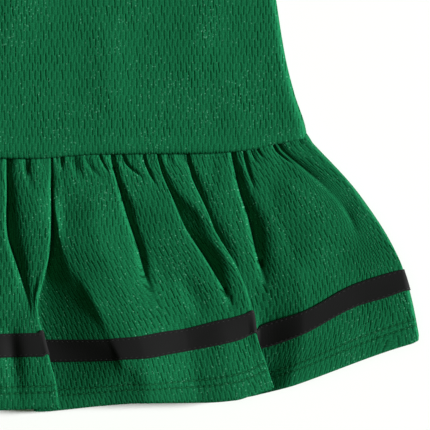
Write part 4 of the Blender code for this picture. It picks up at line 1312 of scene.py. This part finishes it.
front_bodice = build_front_bodice()
back_bodice = build_back_bodice()
front_ruffle, front_points, front_uv, front_rows = build_front_ruffle()
back_ruffle, back_points, back_uv, back_rows = build_back_ruffle()
front_tape = build_tape("front_tape_band", front_points, front_uv, front_rows, 1.0)
back_tape = build_tape("back_tape_band", back_points, back_uv, back_rows, -1.0)
front_neck = neck_curve(FRONT_NECK_DEPTH, NECK_STEPS)
back_neck = neck_curve(BACK_NECK_DEPTH, NECK_STEPS)
right_armhole = armhole_curve(ARMHOLE_STEPS)
left_armhole = right_armhole * np.array((-1.0, 1.0))
neck_binding = build_binding("neck_binding_band", front_neck, back_neck, -1)
right_binding = build_binding("right_armhole_band", right_armhole, right_armhole, 1)
left_binding = build_binding("left_armhole_band", left_armhole, left_armhole, -1)

front_edges = ((front_neck, -1), (right_armhole, 1), (left_armhole, -1))
back_edges = ((back_neck, -1), (right_armhole, 1), (left_armhole, -1))
back_levels = ((back_inside, 1.0), (back_outside, -1.0))
hem_places = [1.0 - line / RUFFLE_DEPTH for line in HEM_LINES]
tape_surface = TAPE_LIFT + TAPE_THICKNESS / 2
cloth_surface = CLOTH / 2 + STITCH_LIFT

front_binding_sewing = sew(
    "front_binding_stitches",
    [binding_seam(edge, away, front_level, 1.0) for edge, away in front_edges],
    BINDING_STITCH, green_thread)
back_binding_sewing = sew(
    "back_binding_stitches",
    [binding_seam(edge, away, level, up) for edge, away in back_edges for level, up in back_levels],
    BINDING_STITCH, green_thread)
front_tape_sewing = sew(
    "front_tape_stitches", ruffle_seams(front_points, front_rows, TAPE_SEAMS, tape_surface),
    FRONT_TAPE_STITCH, black_thread)
back_tape_sewing = sew(
    "back_tape_stitches", ruffle_seams(back_points, back_rows, TAPE_SEAMS, BACK_TAPE_SINK - tape_surface),
    BACK_TAPE_STITCH, black_thread)
front_hem_sewing = sew(
    "front_hem_stitches", ruffle_seams(front_points, front_rows, hem_places, cloth_surface),
    HEM_STITCH, green_thread)
back_hem_sewing = sew(
    "back_hem_stitches", ruffle_seams(back_points, back_rows, hem_places, -cloth_surface),
    HEM_STITCH, green_thread)

for piece, node, slot in (
    (front_bodice, "front_bodice", "jersey"),
    (back_bodice, "back_bodice", "jersey"),
    (front_ruffle, "front_ruffle", "jersey"),
    (back_ruffle, "back_ruffle", "jersey"),
    (front_tape, "front_tape", "tape"),
    (back_tape, "back_tape", "tape"),
    (neck_binding, "neck_binding", "binding"),
    (right_binding, "right_armhole_binding", "binding"),
    (left_binding, "left_armhole_binding", "binding"),
):
    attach(piece, "root")
    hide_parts(node)
for piece, slot in (
    (front_binding_sewing, "jersey"),
    (back_binding_sewing, "jersey"),
    (front_hem_sewing, "jersey"),
    (back_hem_sewing, "jersey"),
    (front_tape_sewing, "tape"),
    (back_tape_sewing, "tape"),
):
    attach(piece, "root")

floor = build_floor()
for spec in AREA_LIGHTS:
    add_area_light(spec)
light_surround()
bpy.context.scene.view_settings.view_transform = "Standard"
build_camera()
